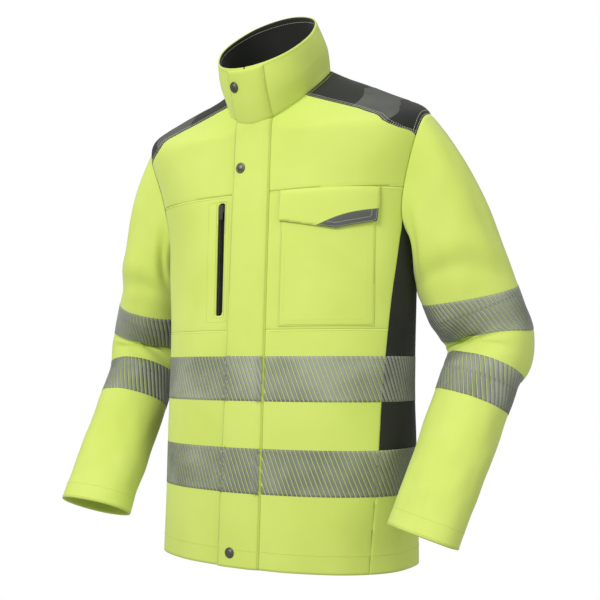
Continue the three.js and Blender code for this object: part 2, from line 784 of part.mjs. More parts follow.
// A turned piece, its axis along the surface's normal, from a profile of [radius, lift] points.
function turned(name, profile, spot, material) {
  const points = profile.map(([r, lift]) => new THREE.Vector2(r, lift));
  const geometry = new THREE.LatheGeometry(points, 20);
  geometry.rotateX(Math.PI / 2); // the profile's height now runs along +Z
  const mesh = add(name, geometry, material);
  mesh.position.copy(layerPoint(body, spot.ids, spot.weights, 0));
  mesh.quaternion.setFromUnitVectors(new THREE.Vector3(0, 0, 1), spot.normal);
}

const studTop = FLAP_LIFT - 2 * CLEARANCE;
for (const [place, drop] of Object.entries(SNAP_DROPS)) {
  const spot = frontSpot(SNAP_X, -drop);
  const capBase = flapTop + CLEARANCE;
  turned(
    `${place}_snap_cap`,
    [
      [0, capBase],
      [SNAP_RADIUS, capBase],
      [SNAP_RADIUS, capBase + SNAP_DOME * 0.4],
      [SNAP_RADIUS * 0.75, capBase + SNAP_DOME * 0.85],
      [0, capBase + SNAP_DOME],
    ],
    spot,
    GUNMETAL,
  );
  const socketTop = FLAP_LIFT - 1.5 * CLEARANCE;
  const socketBase = CLEARANCE + 0.9;
  const bore = KNOB_RADIUS + KNOB_CLEARANCE;
  turned(
    `${place}_snap_socket`,
    [
      [bore, socketBase],
      [SOCKET_RADIUS, socketBase],
      [SOCKET_RADIUS, socketTop],
      [bore, socketTop],
      [bore, socketBase],
    ],
    spot,
    GUNMETAL,
  );
  turned(
    `${place}_snap_stud`,
    [
      [0, CLEARANCE],
      [SOCKET_RADIUS, CLEARANCE],
      [SOCKET_RADIUS, CLEARANCE + 0.5],
      [KNOB_RADIUS, CLEARANCE + 0.5],
      [KNOB_RADIUS, studTop],
      [0, studTop],
    ],
    spot,
    GUNMETAL,
  );
}

// ================================================================ sleeves

// A spot of the body's net by angle and height, on the wearer's left.
function sideSpot(angle, up) {
  for (const { ids, left } of body.triangles) {
    if (!left) continue;
    const [a, b, c] = ids.map((id) => body.facts[id]);
    const area = (b.angle - a.angle) * (c.up - a.up) - (c.angle - a.angle) * (b.up - a.up);
    const wb = ((angle - a.angle) * (c.up - a.up) - (c.angle - a.angle) * (up - a.up)) / area;
    const wc = ((b.angle - a.angle) * (up - a.up) - (angle - a.angle) * (b.up - a.up)) / area;
    if (wb > -1e-9 && wc > -1e-9 && wb + wc < 1 + 1e-9)
      return { ids, weights: [1 - wb - wc, wb, wc] };
  }
  throw new Error(`no side surface at angle ${angle}, height ${up}`);
}

// The armhole's edge as cut in the panels, just inside it. round is 0 at the front, 90 at the top.
function armholePoint(round) {
  const spotAt = (size) =>
    sideSpot(
      ARMHOLE.angle - size * ARMHOLE.halfAngle * Math.cos(rad(round)),
      armholeUp + size * armholeHeight * Math.sin(rad(round)),
    );
  let [inside, outside] = [0.5, 1.3];
  for (let step = 0; step < 40; step++) {
    const middle = (inside + outside) / 2;
    const { ids, weights } = spotAt(middle);
    const value = ids.reduce((sum, id, k) => sum + weights[k] * fromArmhole(body.facts[id]), 0);
    if (value < -gap) inside = middle;
    else outside = middle;
  }
  const { ids, weights } = spotAt(inside);
  return layerPoint(body, ids, weights, 2 * CLEARANCE);
}

const upperArm = ELBOW.clone().sub(SLEEVE_START);
const lowerArm = CUFF.clone().sub(ELBOW);
const upperWay = upperArm.clone().normalize();
const lowerWay = lowerArm.clone().normalize();
const bend = upperWay.angleTo(lowerWay);
const bendWay = lowerWay.clone().addScaledVector(upperWay, -Math.cos(bend)).normalize();
const tangent = BEND_RADIUS * Math.tan(bend / 2);
const bendStart = upperArm.length() - tangent;
const bendEnd = bendStart + BEND_RADIUS * bend;
const sleeveEnd = bendEnd + lowerArm.length() - tangent;

// The sleeve's axis at a distance along it: where it is and which way it runs.
function sleeveAxis(along) {
  if (along <= bendStart)
    return { at: SLEEVE_START.clone().addScaledVector(upperWay, along), way: upperWay.clone() };
  const start = SLEEVE_START.clone().addScaledVector(upperWay, bendStart);
  const turn = Math.min(along - bendStart, BEND_RADIUS * bend) / BEND_RADIUS;
  const at = start
    .addScaledVector(upperWay, BEND_RADIUS * Math.sin(turn))
    .addScaledVector(bendWay, BEND_RADIUS * (1 - Math.cos(turn)));
  const way = upperWay.clone().multiplyScalar(Math.cos(turn)).addScaledVector(bendWay, Math.sin(turn));
  if (along > bendEnd) at.addScaledVector(lowerWay, along - bendEnd);
  return { at, way };
}

const bendMiddle = (bendStart + bendEnd) / 2;
const fullRound = bendStart - SLEEVE_TAPE - 9; // from here down the sleeve is a full tube
const sizeStops = [fullRound, bendMiddle, bendEnd + SLEEVE_TAPE / 2, sleeveEnd];
const sleeveSizes = [BICEPS, ELBOW_SIZE, FOREARM, CUFF_SIZE];
const sleeveOut = curveThrough(sizeStops, sleeveSizes.map((size) => size.out));
const sleeveFront = curveThrough(sizeStops, sleeveSizes.map((size) => size.front));

function tubePoint(along, round) {
  const { at, way } = sleeveAxis(along);
  const forward = new THREE.Vector3(0, -1, 0).addScaledVector(way, way.y).normalize();
  const outward = forward.clone().cross(way);
  const near = Math.min(Math.abs(along - bendMiddle) / CREASE_REACH, 1);
  const facing = Math.max(Math.cos(rad(round - CREASE_ANGLE)), 0);
  const press = 1 - CREASE * Math.cos((near * Math.PI) / 2) ** 2 * facing ** 2;
  return at
    .addScaledVector(outward, sleeveOut(along) * press * Math.sin(rad(round)))
    .addScaledVector(forward, sleeveFront(along) * press * Math.cos(rad(round)));
}

// share 0 is the armhole and 1 the start of the full tube.
function capPoint(share, round) {
  const [from, to] = [armholePoint(round), tubePoint(fullRound, round)];
  const bulge = 4 * share * (1 - share) * 4 * Math.max(Math.sin(rad(round)), 0);
  return from.lerp(to, share).add(new THREE.Vector3(bulge, 0, 0));
}

const SLEEVE_ROWS = [
  ...[0, 0.3, 0.65].map((share) => ({ along: fullRound * share, share })),
  ...[
    fullRound,
    bendStart - SLEEVE_TAPE,
    bendStart,
    THREE.MathUtils.lerp(bendStart, bendEnd, 0.33),
    THREE.MathUtils.lerp(bendStart, bendEnd, 0.67),
    bendEnd,
    bendEnd + SLEEVE_TAPE,
    (bendEnd + SLEEVE_TAPE + sleeveEnd) / 2,
    sleeveEnd - CUFF_FACING.length,
    sleeveEnd,
  ].map((along) => ({ along, share: 1 })),
];
const roundOf = (column) => (column / SLEEVE_COLUMNS) * 360;

for (const [side, mirror] of [["left", 1], ["right", -1]]) {
  const net = makeNet(
    SLEEVE_ROWS.length,
    SLEEVE_COLUMNS,
    (j, i) => {
      const { along, share } = SLEEVE_ROWS[j];
      const p = share < 1 ? capPoint(share, roundOf(i)) : tubePoint(along, roundOf(i));
      p.x *= mirror;
      return p;
    },
    (j) => ({ along: SLEEVE_ROWS[j].along }),
    mirror > 0,
  );
  const from = (along) => (f) => f.along - along;
  const to = (along) => (f) => along - f.along;
  const piece = (name, low, high, cuts, material) =>
    add(`${side}_${name}`, layer(net, low, high, cuts), material);
  const tape = (name, start) =>
    piece(name, CLEARANCE, tapeLift, [from(start), to(start + SLEEVE_TAPE)], SILVER);
  piece("upper_sleeve", -FABRIC, 0, [to(bendStart - gap)], YELLOW);
  piece("elbow_sleeve", -FABRIC, 0, [from(bendStart + gap), to(bendEnd - gap)], YELLOW);
  piece("lower_sleeve", -FABRIC, 0, [from(bendEnd + gap)], YELLOW);
  tape("upper_sleeve_tape", bendStart - SLEEVE_TAPE);
  tape("lower_sleeve_tape", bendEnd);
  const facingTop = -FABRIC - CLEARANCE;
  const facing = [from(sleeveEnd - CUFF_FACING.length)];
  piece("cuff_facing", facingTop - CUFF_FACING.thick, facingTop, facing, YELLOW);
}

export default jacket;
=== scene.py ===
"""A hip-length high-visibility work jacket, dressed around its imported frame. Metres, +Z up, front to -Y."""

import math

import bpy
import numpy as np
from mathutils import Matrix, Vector, noise


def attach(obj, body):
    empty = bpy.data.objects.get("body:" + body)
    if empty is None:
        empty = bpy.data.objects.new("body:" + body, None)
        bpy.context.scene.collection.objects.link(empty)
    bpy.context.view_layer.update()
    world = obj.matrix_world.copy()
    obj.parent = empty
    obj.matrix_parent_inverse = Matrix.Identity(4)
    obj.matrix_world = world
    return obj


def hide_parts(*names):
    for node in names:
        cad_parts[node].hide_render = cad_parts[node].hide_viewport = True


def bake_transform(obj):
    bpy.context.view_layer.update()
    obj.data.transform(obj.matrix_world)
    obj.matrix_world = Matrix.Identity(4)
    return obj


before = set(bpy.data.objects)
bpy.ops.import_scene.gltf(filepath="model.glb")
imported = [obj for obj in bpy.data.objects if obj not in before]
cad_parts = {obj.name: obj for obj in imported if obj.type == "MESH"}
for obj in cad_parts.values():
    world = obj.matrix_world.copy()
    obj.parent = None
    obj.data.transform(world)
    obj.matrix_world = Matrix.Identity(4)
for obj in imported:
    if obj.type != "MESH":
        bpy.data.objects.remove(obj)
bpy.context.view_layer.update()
MM = 0.001

# ---------------------------------------------------------------- studio
# A white room lights the jacket from all round, as in catalogue pictures of workwear. A broad key
# light at the upper left of the camera and a weaker one above keep the folds readable.


def soft_light(name, place, aim, size, power):
    data = bpy.data.lights.new(name, "AREA")
    data.shape = "RECTANGLE"
    data.size, data.size_y = size
    data.energy = power
    light = bpy.data.objects.new(name, data)
    light.location = place
    light.rotation_euler = (Vector(aim) - Vector(place)).to_track_quat("-Z", "Y").to_euler()
    bpy.context.collection.objects.link(light)


CHEST = (0.0, 0.0, -0.3)
soft_light("key_light", (-0.5, -2.5, 1.2), CHEST, (1.3, 1.0), 52)
soft_light("top_light", (0.2, -0.6, 2.2), CHEST, (1.8, 1.4), 8)
soft_light("right_light", (2.3, -0.9, 0.3), CHEST, (1.2, 1.6), 10)

view_distance = 1.45
view_turn = math.radians(30)  # the camera stands to the wearer's left of the front
camera_data = bpy.data.cameras.new("camera")
camera_data.lens = 58.0
camera_data.shift_x = 0.015
camera_data.shift_y = 0.1083
camera = bpy.data.objects.new("camera", camera_data)
camera.location = (view_distance * math.sin(view_turn), -view_distance * math.cos(view_turn), -0.42)
camera.rotation_euler = (math.pi / 2, 0, view_turn)
bpy.context.collection.objects.link(camera)
bpy.context.scene.camera = camera

bpy.context.scene.view_settings.view_transform = "Standard"
ROOM_LIGHT = 0.42  # the white wall is seen at full strength but lights the jacket less
world = bpy.data.worlds.new("white_room")
bpy.context.scene.world = world
world.use_nodes = True
world.node_tree.nodes["Background"].inputs["Color"].default_value = (1, 1, 1, 1)


def linear(hex_colour):
    """An sRGB hex colour as linear values with alpha."""
    channels = [int(hex_colour[k : k + 2], 16) / 255 for k in (0, 2, 4)]
    return [c / 12.92 if c <= 0.04045 else ((c + 0.055) / 1.055) ** 2.4 for c in channels] + [1.0]


def node(tree, kind, links=(), **settings):
    """Adds a shader or geometry node: settings by attribute or input name, links as (input, socket)."""
    made = tree.nodes.new(kind)
    for key, value in settings.items():
        if hasattr(made, key) and key not in made.inputs:
            setattr(made, key, value)
        else:
            made.inputs[key.replace("_", " ")].default_value = value
    for where, socket in links:
        tree.links.new(socket, made.inputs[where])
    return made


seen_or_lighting = node(world.node_tree, "ShaderNodeLightPath")
room_strength = node(
    world.node_tree,
    "ShaderNodeMapRange",
    [("Value", seen_or_lighting.outputs["Is Camera Ray"])],
    To_Min=ROOM_LIGHT,
    To_Max=1.0,
)
world.node_tree.links.new(room_strength.outputs[0], world.node_tree.nodes["Background"].inputs["Strength"])


def new_material(name, **settings):
    """A material with its principled shader, given by socket name."""
    material = bpy.data.materials.new(name)
    material.use_nodes = True
    shader = material.node_tree.nodes["Principled BSDF"]
    for key, value in settings.items():
        shader.inputs[key.replace("_", " ")].default_value = value
    return material, material.node_tree, shader

# ---------------------------------------------------------------- the body's surface
# Shell, pockets, flaps and tapes all follow one surface, the outside of the worn jacket. It runs up
# the side as rings from the hem to the neck seam and on to the collar's rim.

BODY_LENGTH, ARMPIT_DROP, SHOULDER_DROP = 700, 245, 73
SHOULDER_HALF, CHEST_HALF, WAIST_HALF, HEM_HALF, NECK_HALF = 235, 201, 198, 205, 80
HEM_FRONT_Y, HEM_BACK_Y, CHEST_BACK_Y = -137, 112, 106
NECK_UP = SHOULDER_HALF - NECK_HALF - SHOULDER_DROP + 15
RIM_UP = NECK_UP + 100


def front_line(z):
    """The front centre hangs on a straight line."""
    return -104 + (HEM_FRONT_Y + 104) * (z + 90) / (90 - BODY_LENGTH)


def flat_ring(share, half, back_y):
    """A level ring, share 0 at the armpit and 1 at the hem."""
    z = -ARMPIT_DROP + (ARMPIT_DROP - BODY_LENGTH) * share
    front_y = front_line(z)
    return [z, half, front_y, z, (front_y + back_y) / 2, z, back_y, z]


# height up the side, half width, then y and z at the front, the side and the back
RINGS = np.array(
    [
        flat_ring(1, HEM_HALF, HEM_BACK_Y),
        flat_ring(0.637, (HEM_HALF + WAIST_HALF) / 2, HEM_BACK_Y - 8),
        flat_ring(0.43, WAIST_HALF, HEM_BACK_Y - 11),
        flat_ring(0.187, WAIST_HALF, CHEST_BACK_Y - 2),
        flat_ring(0, CHEST_HALF, CHEST_BACK_Y),
        [-160, CHEST_HALF + 14, front_line(-170), -170, -6, -160, CHEST_BACK_Y - 2, -150],
        [-100, SHOULDER_HALF - 5, front_line(-120), -120, -14, -100, 92, -90],
        [-SHOULDER_DROP, SHOULDER_HALF, front_line(-100), -100, -20, -SHOULDER_DROP, 78, -50],
        [50 - SHOULDER_DROP, SHOULDER_HALF - 47, front_line(-94), -94, -22, 21 - SHOULDER_DROP, 64, -24],
        [NECK_UP, NECK_HALF, -105, -81, -32, -3, 35, 15],
    ]
)
COLLAR_RINGS = np.array([RINGS[-1], [RIM_UP, 74, -130, -8, -69, 45, -8, 98]])


def curve_through(xs, ys, x):
    """A smooth curve through points that never overshoots them."""
    slope = np.diff(ys) / np.diff(xs)
    tangent = np.concatenate([slope[:1], np.zeros(len(xs) - 2), slope[-1:]])
    for k in range(1, len(xs) - 1):
        a, b = slope[k - 1], slope[k]
        tangent[k] = 0 if a * b <= 0 else 2 * a * b / (a + b)
    i = np.clip(np.searchsorted(xs, x) - 1, 0, len(xs) - 2)
    width = xs[i + 1] - xs[i]
    s = (x - xs[i]) / width
    return (
        ys[i] * (2 * s**3 - 3 * s**2 + 1)
        + ys[i + 1] * (3 * s**2 - 2 * s**3)
        + width * (tangent[i] * (s**3 - 2 * s**2 + s) + tangent[i + 1] * (s**3 - s**2))
    )


def body_point(angle, up):
    """Outer surface by angle (degrees, 0 at the wearer's left, -90 at the front) and height, in mm."""
    angle, up = np.broadcast_arrays(np.radians(angle), np.asarray(up, float))
    low = [curve_through(RINGS[:, 0], RINGS[:, k], np.minimum(up, NECK_UP)) for k in range(1, 8)]
    high = [curve_through(COLLAR_RINGS[:, 0], COLLAR_RINGS[:, k], up) for k in range(1, 8)]
    half, front_y, front_z, side_y, side_z, back_y, back_z = np.where(up > NECK_UP, high, low)
    c, s = np.cos(angle), np.sin(angle)
    neckness = np.clip((up + SHOULDER_DROP) / (NECK_UP + SHOULDER_DROP), 0, 1)
    n = 2.3 + (2 - 2.3) * neckness
    swell = (np.abs(c) ** n + np.abs(s) ** n) ** (-1 / n)
    c, s = c * swell, s * swell
    y = side_y + (back_y - front_y) / 2 * s + ((back_y + front_y) / 2 - side_y) * s * s
    z = side_z + (back_z - front_z) / 2 * s + ((back_z + front_z) / 2 - side_z) * s * s
    return np.stack([half * c, y, z], -1)


def waves(points, size, seed):
    """Soft noise from -1 to 1 at each point; size is the spacing of its folds along x, y and z in mm."""
    scaled = np.asarray(points) / np.array(size) + seed
    return np.array([noise.noise(Vector(p)) for p in scaled]) * 1.4


class Net:
    """Rows and columns of surface points with their normals, closed round the columns."""

    def __init__(self, points, inward=False, **facts):
        self.rows, self.columns = points.shape[:2]
        self.points = points.reshape(-1, 3)
        self.facts = {key: np.broadcast_to(v, points.shape[:2]).reshape(-1) for key, v in facts.items()}
        row, column = np.meshgrid(np.arange(self.rows - 1), np.arange(self.columns), indexing="ij")
        a = (row * self.columns + column).ravel()
        b = (row * self.columns + (column + 1) % self.columns).ravel()
        c, d = b + self.columns, a + self.columns
        quads = np.stack([a, b, c, d], 1)
        if inward:
            quads = quads[:, ::-1]
        self.triangles = np.concatenate([quads[:, [0, 1, 2]], quads[:, [0, 2, 3]]])
        self.find_normals()

    def find_normals(self):
        p, q, r = (self.points[self.triangles[:, k]] for k in range(3))
        face = np.cross(q - p, r - p)
        normals = np.zeros_like(self.points)
        for k in range(3):
            np.add.at(normals, self.triangles[:, k], face)
        self.normals = normals / np.linalg.norm(normals, axis=1, keepdims=True)

    def at(self, row, column, lift=0.0):
        """Points lift mm off the surface at fractional rows and columns, wrapping round the columns."""
        row = np.clip(row, 0, self.rows - 1.001)
        low, first = np.floor(row).astype(int), np.floor(column).astype(int)
        total, facing = 0.0, 0.0
        for down, a in ((low, 1 - row + low), (low + 1, row - low)):
            for left, b in ((first, 1 - column + first), (first + 1, column - first)):
                spot = down * self.columns + left % self.columns
                share = (a * b)[..., None]
                total = total + self.points[spot] * share
                facing = facing + self.normals[spot] * share
        return total + facing * np.asarray(lift)[..., None]

    def __getattr__(self, key):
        facts = self.__dict__.get("facts", {})
        if key in facts:
            return facts[key]
        raise AttributeError(key)

    @property
    def x(self):
        return self.points[:, 0]

    @property
    def z(self):
        return self.points[:, 2]


BODY_COLUMNS, ROW_STEP = 300, 3.6
even = np.arange(BODY_COLUMNS) / BODY_COLUMNS * 2 * math.pi - math.pi / 2
column_angle = np.degrees(even - 0.18 * np.sin(2 * even))
body_rows = np.concatenate(
    [
        np.linspace(-BODY_LENGTH, NECK_UP, round((BODY_LENGTH + NECK_UP) / ROW_STEP)),
        np.linspace(NECK_UP, RIM_UP, 30)[1:],
    ]
)
grid_angle, grid_up = np.meshgrid(column_angle, body_rows)
smooth = body_point(grid_angle, grid_up)
around_mm = np.cumsum(np.linalg.norm(np.diff(smooth, axis=1, prepend=smooth[:, :1]), axis=2), axis=1)
body = Net(
    smooth,
    angle=np.where(grid_angle > 90, 180 - grid_angle, grid_angle),
    up=grid_up,
    around=around_mm,
    whole=around_mm[:, -1:] + np.linalg.norm(smooth[:, :1] - smooth[:, -1:], axis=2),
)


def bump_at(net, centre, reach, height):
    """A smooth swelling (or, with a negative height, hollow) round a point of the surface."""
    away = np.linalg.norm((net.points - np.array(centre)) / np.array(reach), axis=1)
    return height * np.exp(-(away**2))


def body_folds(net):
    """How far the worn cloth stands off the smooth surface, in mm."""
    p = net.points
    below_neck = np.clip((NECK_UP - 15 - net.up) / 60, 0, 1)
    steady = 1 - 0.75 * np.exp(-((net.x / 60) ** 2)) * (net.angle < 0)  # the zip keeps the front flat
    fold = 1.8 * waves(p, (120, 120, 300), 3.1) + 1.0 * waves(p, (60, 60, 95), 8.7)
    slack = np.clip((-470 - net.z) / 230, 0, 1)
    fold += slack * 1.7 * waves(p, (75, 75, 400), 5.3)
    fold = fold * steady * below_neck
    for side in (-1, 1):
        fold += bump_at(net, (side * 165, -70, -215), (40, 40, 70), -3.0)
        fold += bump_at(net, (side * 178, -50, -265), (30, 30, 60), 2.4)
    # the shoulders dip a little beside the neck and at their ends, and the sides hang in at the hem
    stops = [-130, -85, -60, -25, 20, 60, 97, 140]
    left_dip = np.interp(net.up, stops, [0, 3, 6, 3, 4.5, 6, 5, 0])
    dip = np.where(net.x > 0, left_dip, np.interp(net.up, stops, [0, -4, -7, -7, -3, 1, 3, 0]))
    fold -= dip * np.exp(-((net.angle / 50) ** 2))
    hang = np.interp(net.z, [-700, -560, -420, -250, -150], [7.5, 6, 4, 2, 0])
    fold -= hang * np.exp(-((net.angle / 40) ** 2)) * np.where(net.x < 0, 1, 0.6)
    return fold


folds = body_folds(body)
collar_share = np.clip((body.up - NECK_UP) / (RIM_UP - NECK_UP), 0, 1)
collar_bow = 3.2 * np.sin(math.pi * collar_share)
collar_dents = collar_share * (2.2 * waves(body.points, (70, 70, 50), 2.2))
dent = bump_at(body, (78, -60, 5), (18, 34, 26), -4.5)
folds += np.where(body.up > NECK_UP, collar_bow + collar_dents + dent * (collar_share > 0), 0)
body.points = body.points + body.normals * folds[:, None]
# the cloth rounds off the turn from the chest and back to the shoulders
grid = body.points.reshape(body.rows, body.columns, 3)
ease = 0.5 * np.exp(-(((body_rows + 88) / 42) ** 2))[1:-1, None, None]
for step in range(90):
    grid[1:-1] += ease * ((grid[:-2] + grid[2:]) / 2 - grid[1:-1])
body.points = grid.reshape(-1, 3)
body.find_normals()

# ---------------------------------------------------------------- cutting cloth
# Every piece of cloth is a patch of a surface, cut where its cuts are positive, given its thickness
# and rolled down a little at its edges, as a turned or folded edge is.


SHELL_THICK = 2.0


def cut_patch(net, cuts, keep=None):
    """Corners (ids, weights) and triangles of the part of the net where every cut is positive, in mm."""
    values = np.array([np.broadcast_to(cut, len(net.points)) for cut in cuts]) if cuts else None
    triangles = net.triangles if keep is None else net.triangles[keep[net.triangles].all(axis=1)]
    if values is None:
        return None, triangles, np.full(len(net.points), 1e3)
    values = np.where(np.abs(values) < 0.02, 0.0, values)
    corner_values = values[:, triangles]
    whole = (corner_values >= 0).all(axis=(0, 2))
    gone = (corner_values <= 0).all(axis=2).any(axis=0) & ~whole
    seen, extra, faces = {}, [], []

    def corner(ids, weights):
        used = sorted((int(i), round(float(w), 6)) for i, w in zip(ids, weights) if w > 1e-6)
        if len(used) == 1:
            return used[0][0]
        key = tuple(used)
        if key not in seen:
            seen[key] = len(net.points) + len(extra)
            extra.append(used)
        return seen[key]

    for t in np.nonzero(~whole & ~gone)[0]:
        ids = triangles[t]
        ring = [(1.0, 0.0, 0.0), (0.0, 1.0, 0.0), (0.0, 0.0, 1.0)]
        for v in values[:, ids]:
            if (v >= 0).all():
                continue
            kept = []
            for k, w in enumerate(ring):
                other = ring[(k + 1) % len(ring)]
                here = w[0] * v[0] + w[1] * v[1] + w[2] * v[2]
                there = other[0] * v[0] + other[1] * v[1] + other[2] * v[2]
                if here >= 0:
                    kept.append(w)
                if here * there < 0 and min(abs(here), abs(there)) > 1e-9:
                    share = here / (here - there)
                    kept.append(tuple(a + (b - a) * share for a, b in zip(w, other)))
            ring = kept
            if len(ring) < 3:
                break
        if len(ring) < 3:
            continue
        loop = [corner(ids, w) for w in ring]
        loop = [c for k, c in enumerate(loop) if c != loop[k - 1]]
        faces += [(loop[0], loop[k], loop[k + 1]) for k in range(1, len(loop) - 1)]
    triangles = np.concatenate([triangles[whole], np.array(faces, int).reshape(-1, 3)])
    return extra, triangles, values.min(axis=0)


def spread(net_values, extra):
    """Values at the net's points, followed by those at the cut corners."""
    if not extra:
        return net_values
    rows = [sum(net_values[i] * w for i, w in used) for used in extra]
    return np.concatenate([net_values, np.array(rows)])


def mesh_object(name, points, faces, materials, uvs=None):
    """A mesh object from points in mm."""
    mesh = bpy.data.meshes.new(name)
    mesh.from_pydata((np.asarray(points) * MM).tolist(), [], [list(map(int, f)) for f in faces])
    for material in materials:
        mesh.materials.append(material)
    if uvs is not None:
        layer = mesh.uv_layers.new(name="cloth")
        loops = np.zeros(len(mesh.loops), int)
        mesh.loops.foreach_get("vertex_index", loops)
        layer.data.foreach_set("uv", (uvs[loops] * MM).ravel())
    mesh.polygons.foreach_set("use_smooth", [True] * len(mesh.polygons))
    made = bpy.data.objects.new(name, mesh)
    bpy.context.collection.objects.link(made)
    return made


def cloth_piece(
    name, net, cuts, material, thick=SHELL_THICK, lift=0.0, roll=0.5, roll_width=2.2, keep=None
):
    """A solid piece of cloth whose underside lies lift mm above the net, or lift(net) mm."""
    extra, triangles, inside = cut_patch(net, cuts, keep)
    extra = extra or []
    base = np.broadcast_to(lift(net) if callable(lift) else float(lift), len(net.points))
    inside = np.clip(spread(inside, extra), 0, None)
    base = spread(np.array(base), extra)
    points, normals = spread(net.points, extra), spread(net.normals, extra)
    top = base + thick - roll * np.exp(-((inside / roll_width) ** 2))
    used = np.unique(triangles)
    index = np.full(len(points), -1)
    index[used] = np.arange(len(used))
    triangles = index[triangles]
    upper = (points + normals * top[:, None])[used]
    under = (points + normals * base[:, None])[used]
    count = len(used)
    edges = np.concatenate([triangles[:, [0, 1]], triangles[:, [1, 2]], triangles[:, [2, 0]]])
    code = edges[:, 0] * count + edges[:, 1]
    rim = edges[~np.isin(code, edges[:, 1] * count + edges[:, 0])]
    walls = np.stack([rim[:, 1], rim[:, 0], rim[:, 0] + count, rim[:, 1] + count], 1)
    around = net.around
    if "whole" in net.facts:  # pieces right of the front are measured back from it
        share = (around / net.whole)[used[used < len(around)]]
        if (np.abs(share - 0.5) > 0.02).all():
            around = np.where(around > net.whole / 2, around - net.whole, around)
    uv = np.stack([around, net.up], 1)
    uv = spread(uv, extra)[used]
    faces = triangles.tolist() + (triangles[:, ::-1] + count).tolist() + walls.tolist()
    return mesh_object(name, np.concatenate([upper, under]), faces, [material], np.concatenate([uv, uv]))


# ---------------------------------------------------------------- yellow shell panels
# Woven polyester softshell in fluorescent yellow, a lining bonded to its back, 2 mm together. The
# panels meet edge to edge at felled seams. The dye gives back ultraviolet light as yellow-green; a
# faint emission stands in for that as painted glow, the same in light and shade. Its plain weave of
# 0.6 mm yarns is matt with a faint bloom.

WEAVE_PITCH = 1.3 * MM  # drawn twice as coarse as the yarns, which are too fine to show


def weave_bump(tree, shader, pitch, strength, coordinate="UV"):
    """Over-and-under yarns and small irregular slubs, as a bump on the shader."""
    place = node(tree, "ShaderNodeTexCoord")
    shift = node(tree, "ShaderNodeMapping", [("Vector", place.outputs[coordinate])])
    waves_at = 2 * math.pi / pitch / 20  # a wave texture of scale 1 repeats every pi / 10
    warp = node(
        tree,
        "ShaderNodeTexWave",
        [("Vector", shift.outputs["Vector"])],
        bands_direction="X",
        Scale=waves_at,
        Distortion=0.6,
    )
    weft = node(
        tree,
        "ShaderNodeTexWave",
        [("Vector", shift.outputs["Vector"])],
        bands_direction="Y",
        Scale=waves_at,
        Distortion=0.6,
    )
    both = node(
        tree,
        "ShaderNodeMath",
        [(0, warp.outputs["Fac"]), (1, weft.outputs["Fac"])],
        operation="MULTIPLY",
    )
    slubs = node(tree, "ShaderNodeTexNoise", [("Vector", place.outputs["Object"])], Scale=420.0, Detail=3.0)
    height = node(tree, "ShaderNodeMath", [(0, both.outputs[0]), (1, slubs.outputs["Fac"])], operation="ADD")
    bump = node(
        tree, "ShaderNodeBump", [("Height", height.outputs[0])], Strength=strength, Distance=0.25 * MM
    )
    tree.links.new(bump.outputs["Normal"], shader.inputs["Normal"])


def mottled(tree, shader, first, second, scale, spread_out=(0.35, 0.65), socket="Base Color"):
    """Colour that drifts between two shades in soft patches."""
    place = node(tree, "ShaderNodeTexCoord")
    patches = node(tree, "ShaderNodeTexNoise", [("Vector", place.outputs["Object"])], Scale=scale, Detail=4.0)
    ramp = node(tree, "ShaderNodeValToRGB", [("Fac", patches.outputs["Fac"])])
    ramp.color_ramp.elements[0].position, ramp.color_ramp.elements[1].position = spread_out
    ramp.color_ramp.elements[0].color = linear(first)
    ramp.color_ramp.elements[1].color = linear(second)
    tree.links.new(ramp.outputs["Color"], shader.inputs[socket])
    return ramp


yellow_cloth, tree, shader = new_material(
    "fluorescent_polyester_softshell",
    Roughness=0.88,
    Sheen_Weight=0.25,
    Sheen_Roughness=0.5,
    # a faint emission: painted glow standing in for the dye's fluorescence
    Emission_Color=linear("c8e63c"),
    Emission_Strength=0.02,
)
mottled(tree, shader, "d0e266", "d8e972", 9.0)
weave_bump(tree, shader, WEAVE_PITCH, 0.35)

SEAM_GAP = 0.15  # half the slit of a closed seam
MM_PER_DEGREE = 2.9
ZIP_GAP_HALF = 7


def front_edge(up):
    """Front edge of the black side panels and yokes, in degrees round from the side."""
    low = -(17 + 19 * (np.clip(-235 - up, 0, None) / (BODY_LENGTH - 235)) ** 0.8)
    stops = [-235, -112, -104, -98, -88, -77, -66, -55, -33, 0, 35, 68, 97]
    edge = [17, 17, 18.5, 22, 31, 36, 38, 37.6, 34.6, 32.2, 32.5, 33, 34]
    return np.where(up > -235, -np.interp(up, stops, edge), low)


def back_edge(up):
    low = 20 + 10 * np.clip(-235 - up, 0, None) / (BODY_LENGTH - 235)
    stops, edge = [-235, -112, -104, -98, -88, -66, 0, 97], [20, 19, 20, 23, 30, 33, 32, 36]
    return np.where(up > -235, np.interp(up, stops, edge), low)


ARMHOLE_ANGLE, ARMHOLE_HALF_ANGLE, ARMHOLE_SQUARENESS = 1, 22, 2.7
ARMHOLE_UP = -(ARMPIT_DROP + SHOULDER_DROP) / 2
ARMHOLE_HEIGHT = (ARMPIT_DROP - SHOULDER_DROP) / 2
ARMHOLE_SCALE = 60  # about how many mm one unit of its outline is


def from_armhole(net):
    """Distance outside the armhole's edge, in mm."""
    across = np.abs(net.angle - ARMHOLE_ANGLE) / ARMHOLE_HALF_ANGLE
    rise = np.abs(net.up - ARMHOLE_UP) / ARMHOLE_HEIGHT
    n = ARMHOLE_SQUARENESS
    return ((across**n + rise**n) ** (1 / n) - 1) * ARMHOLE_SCALE


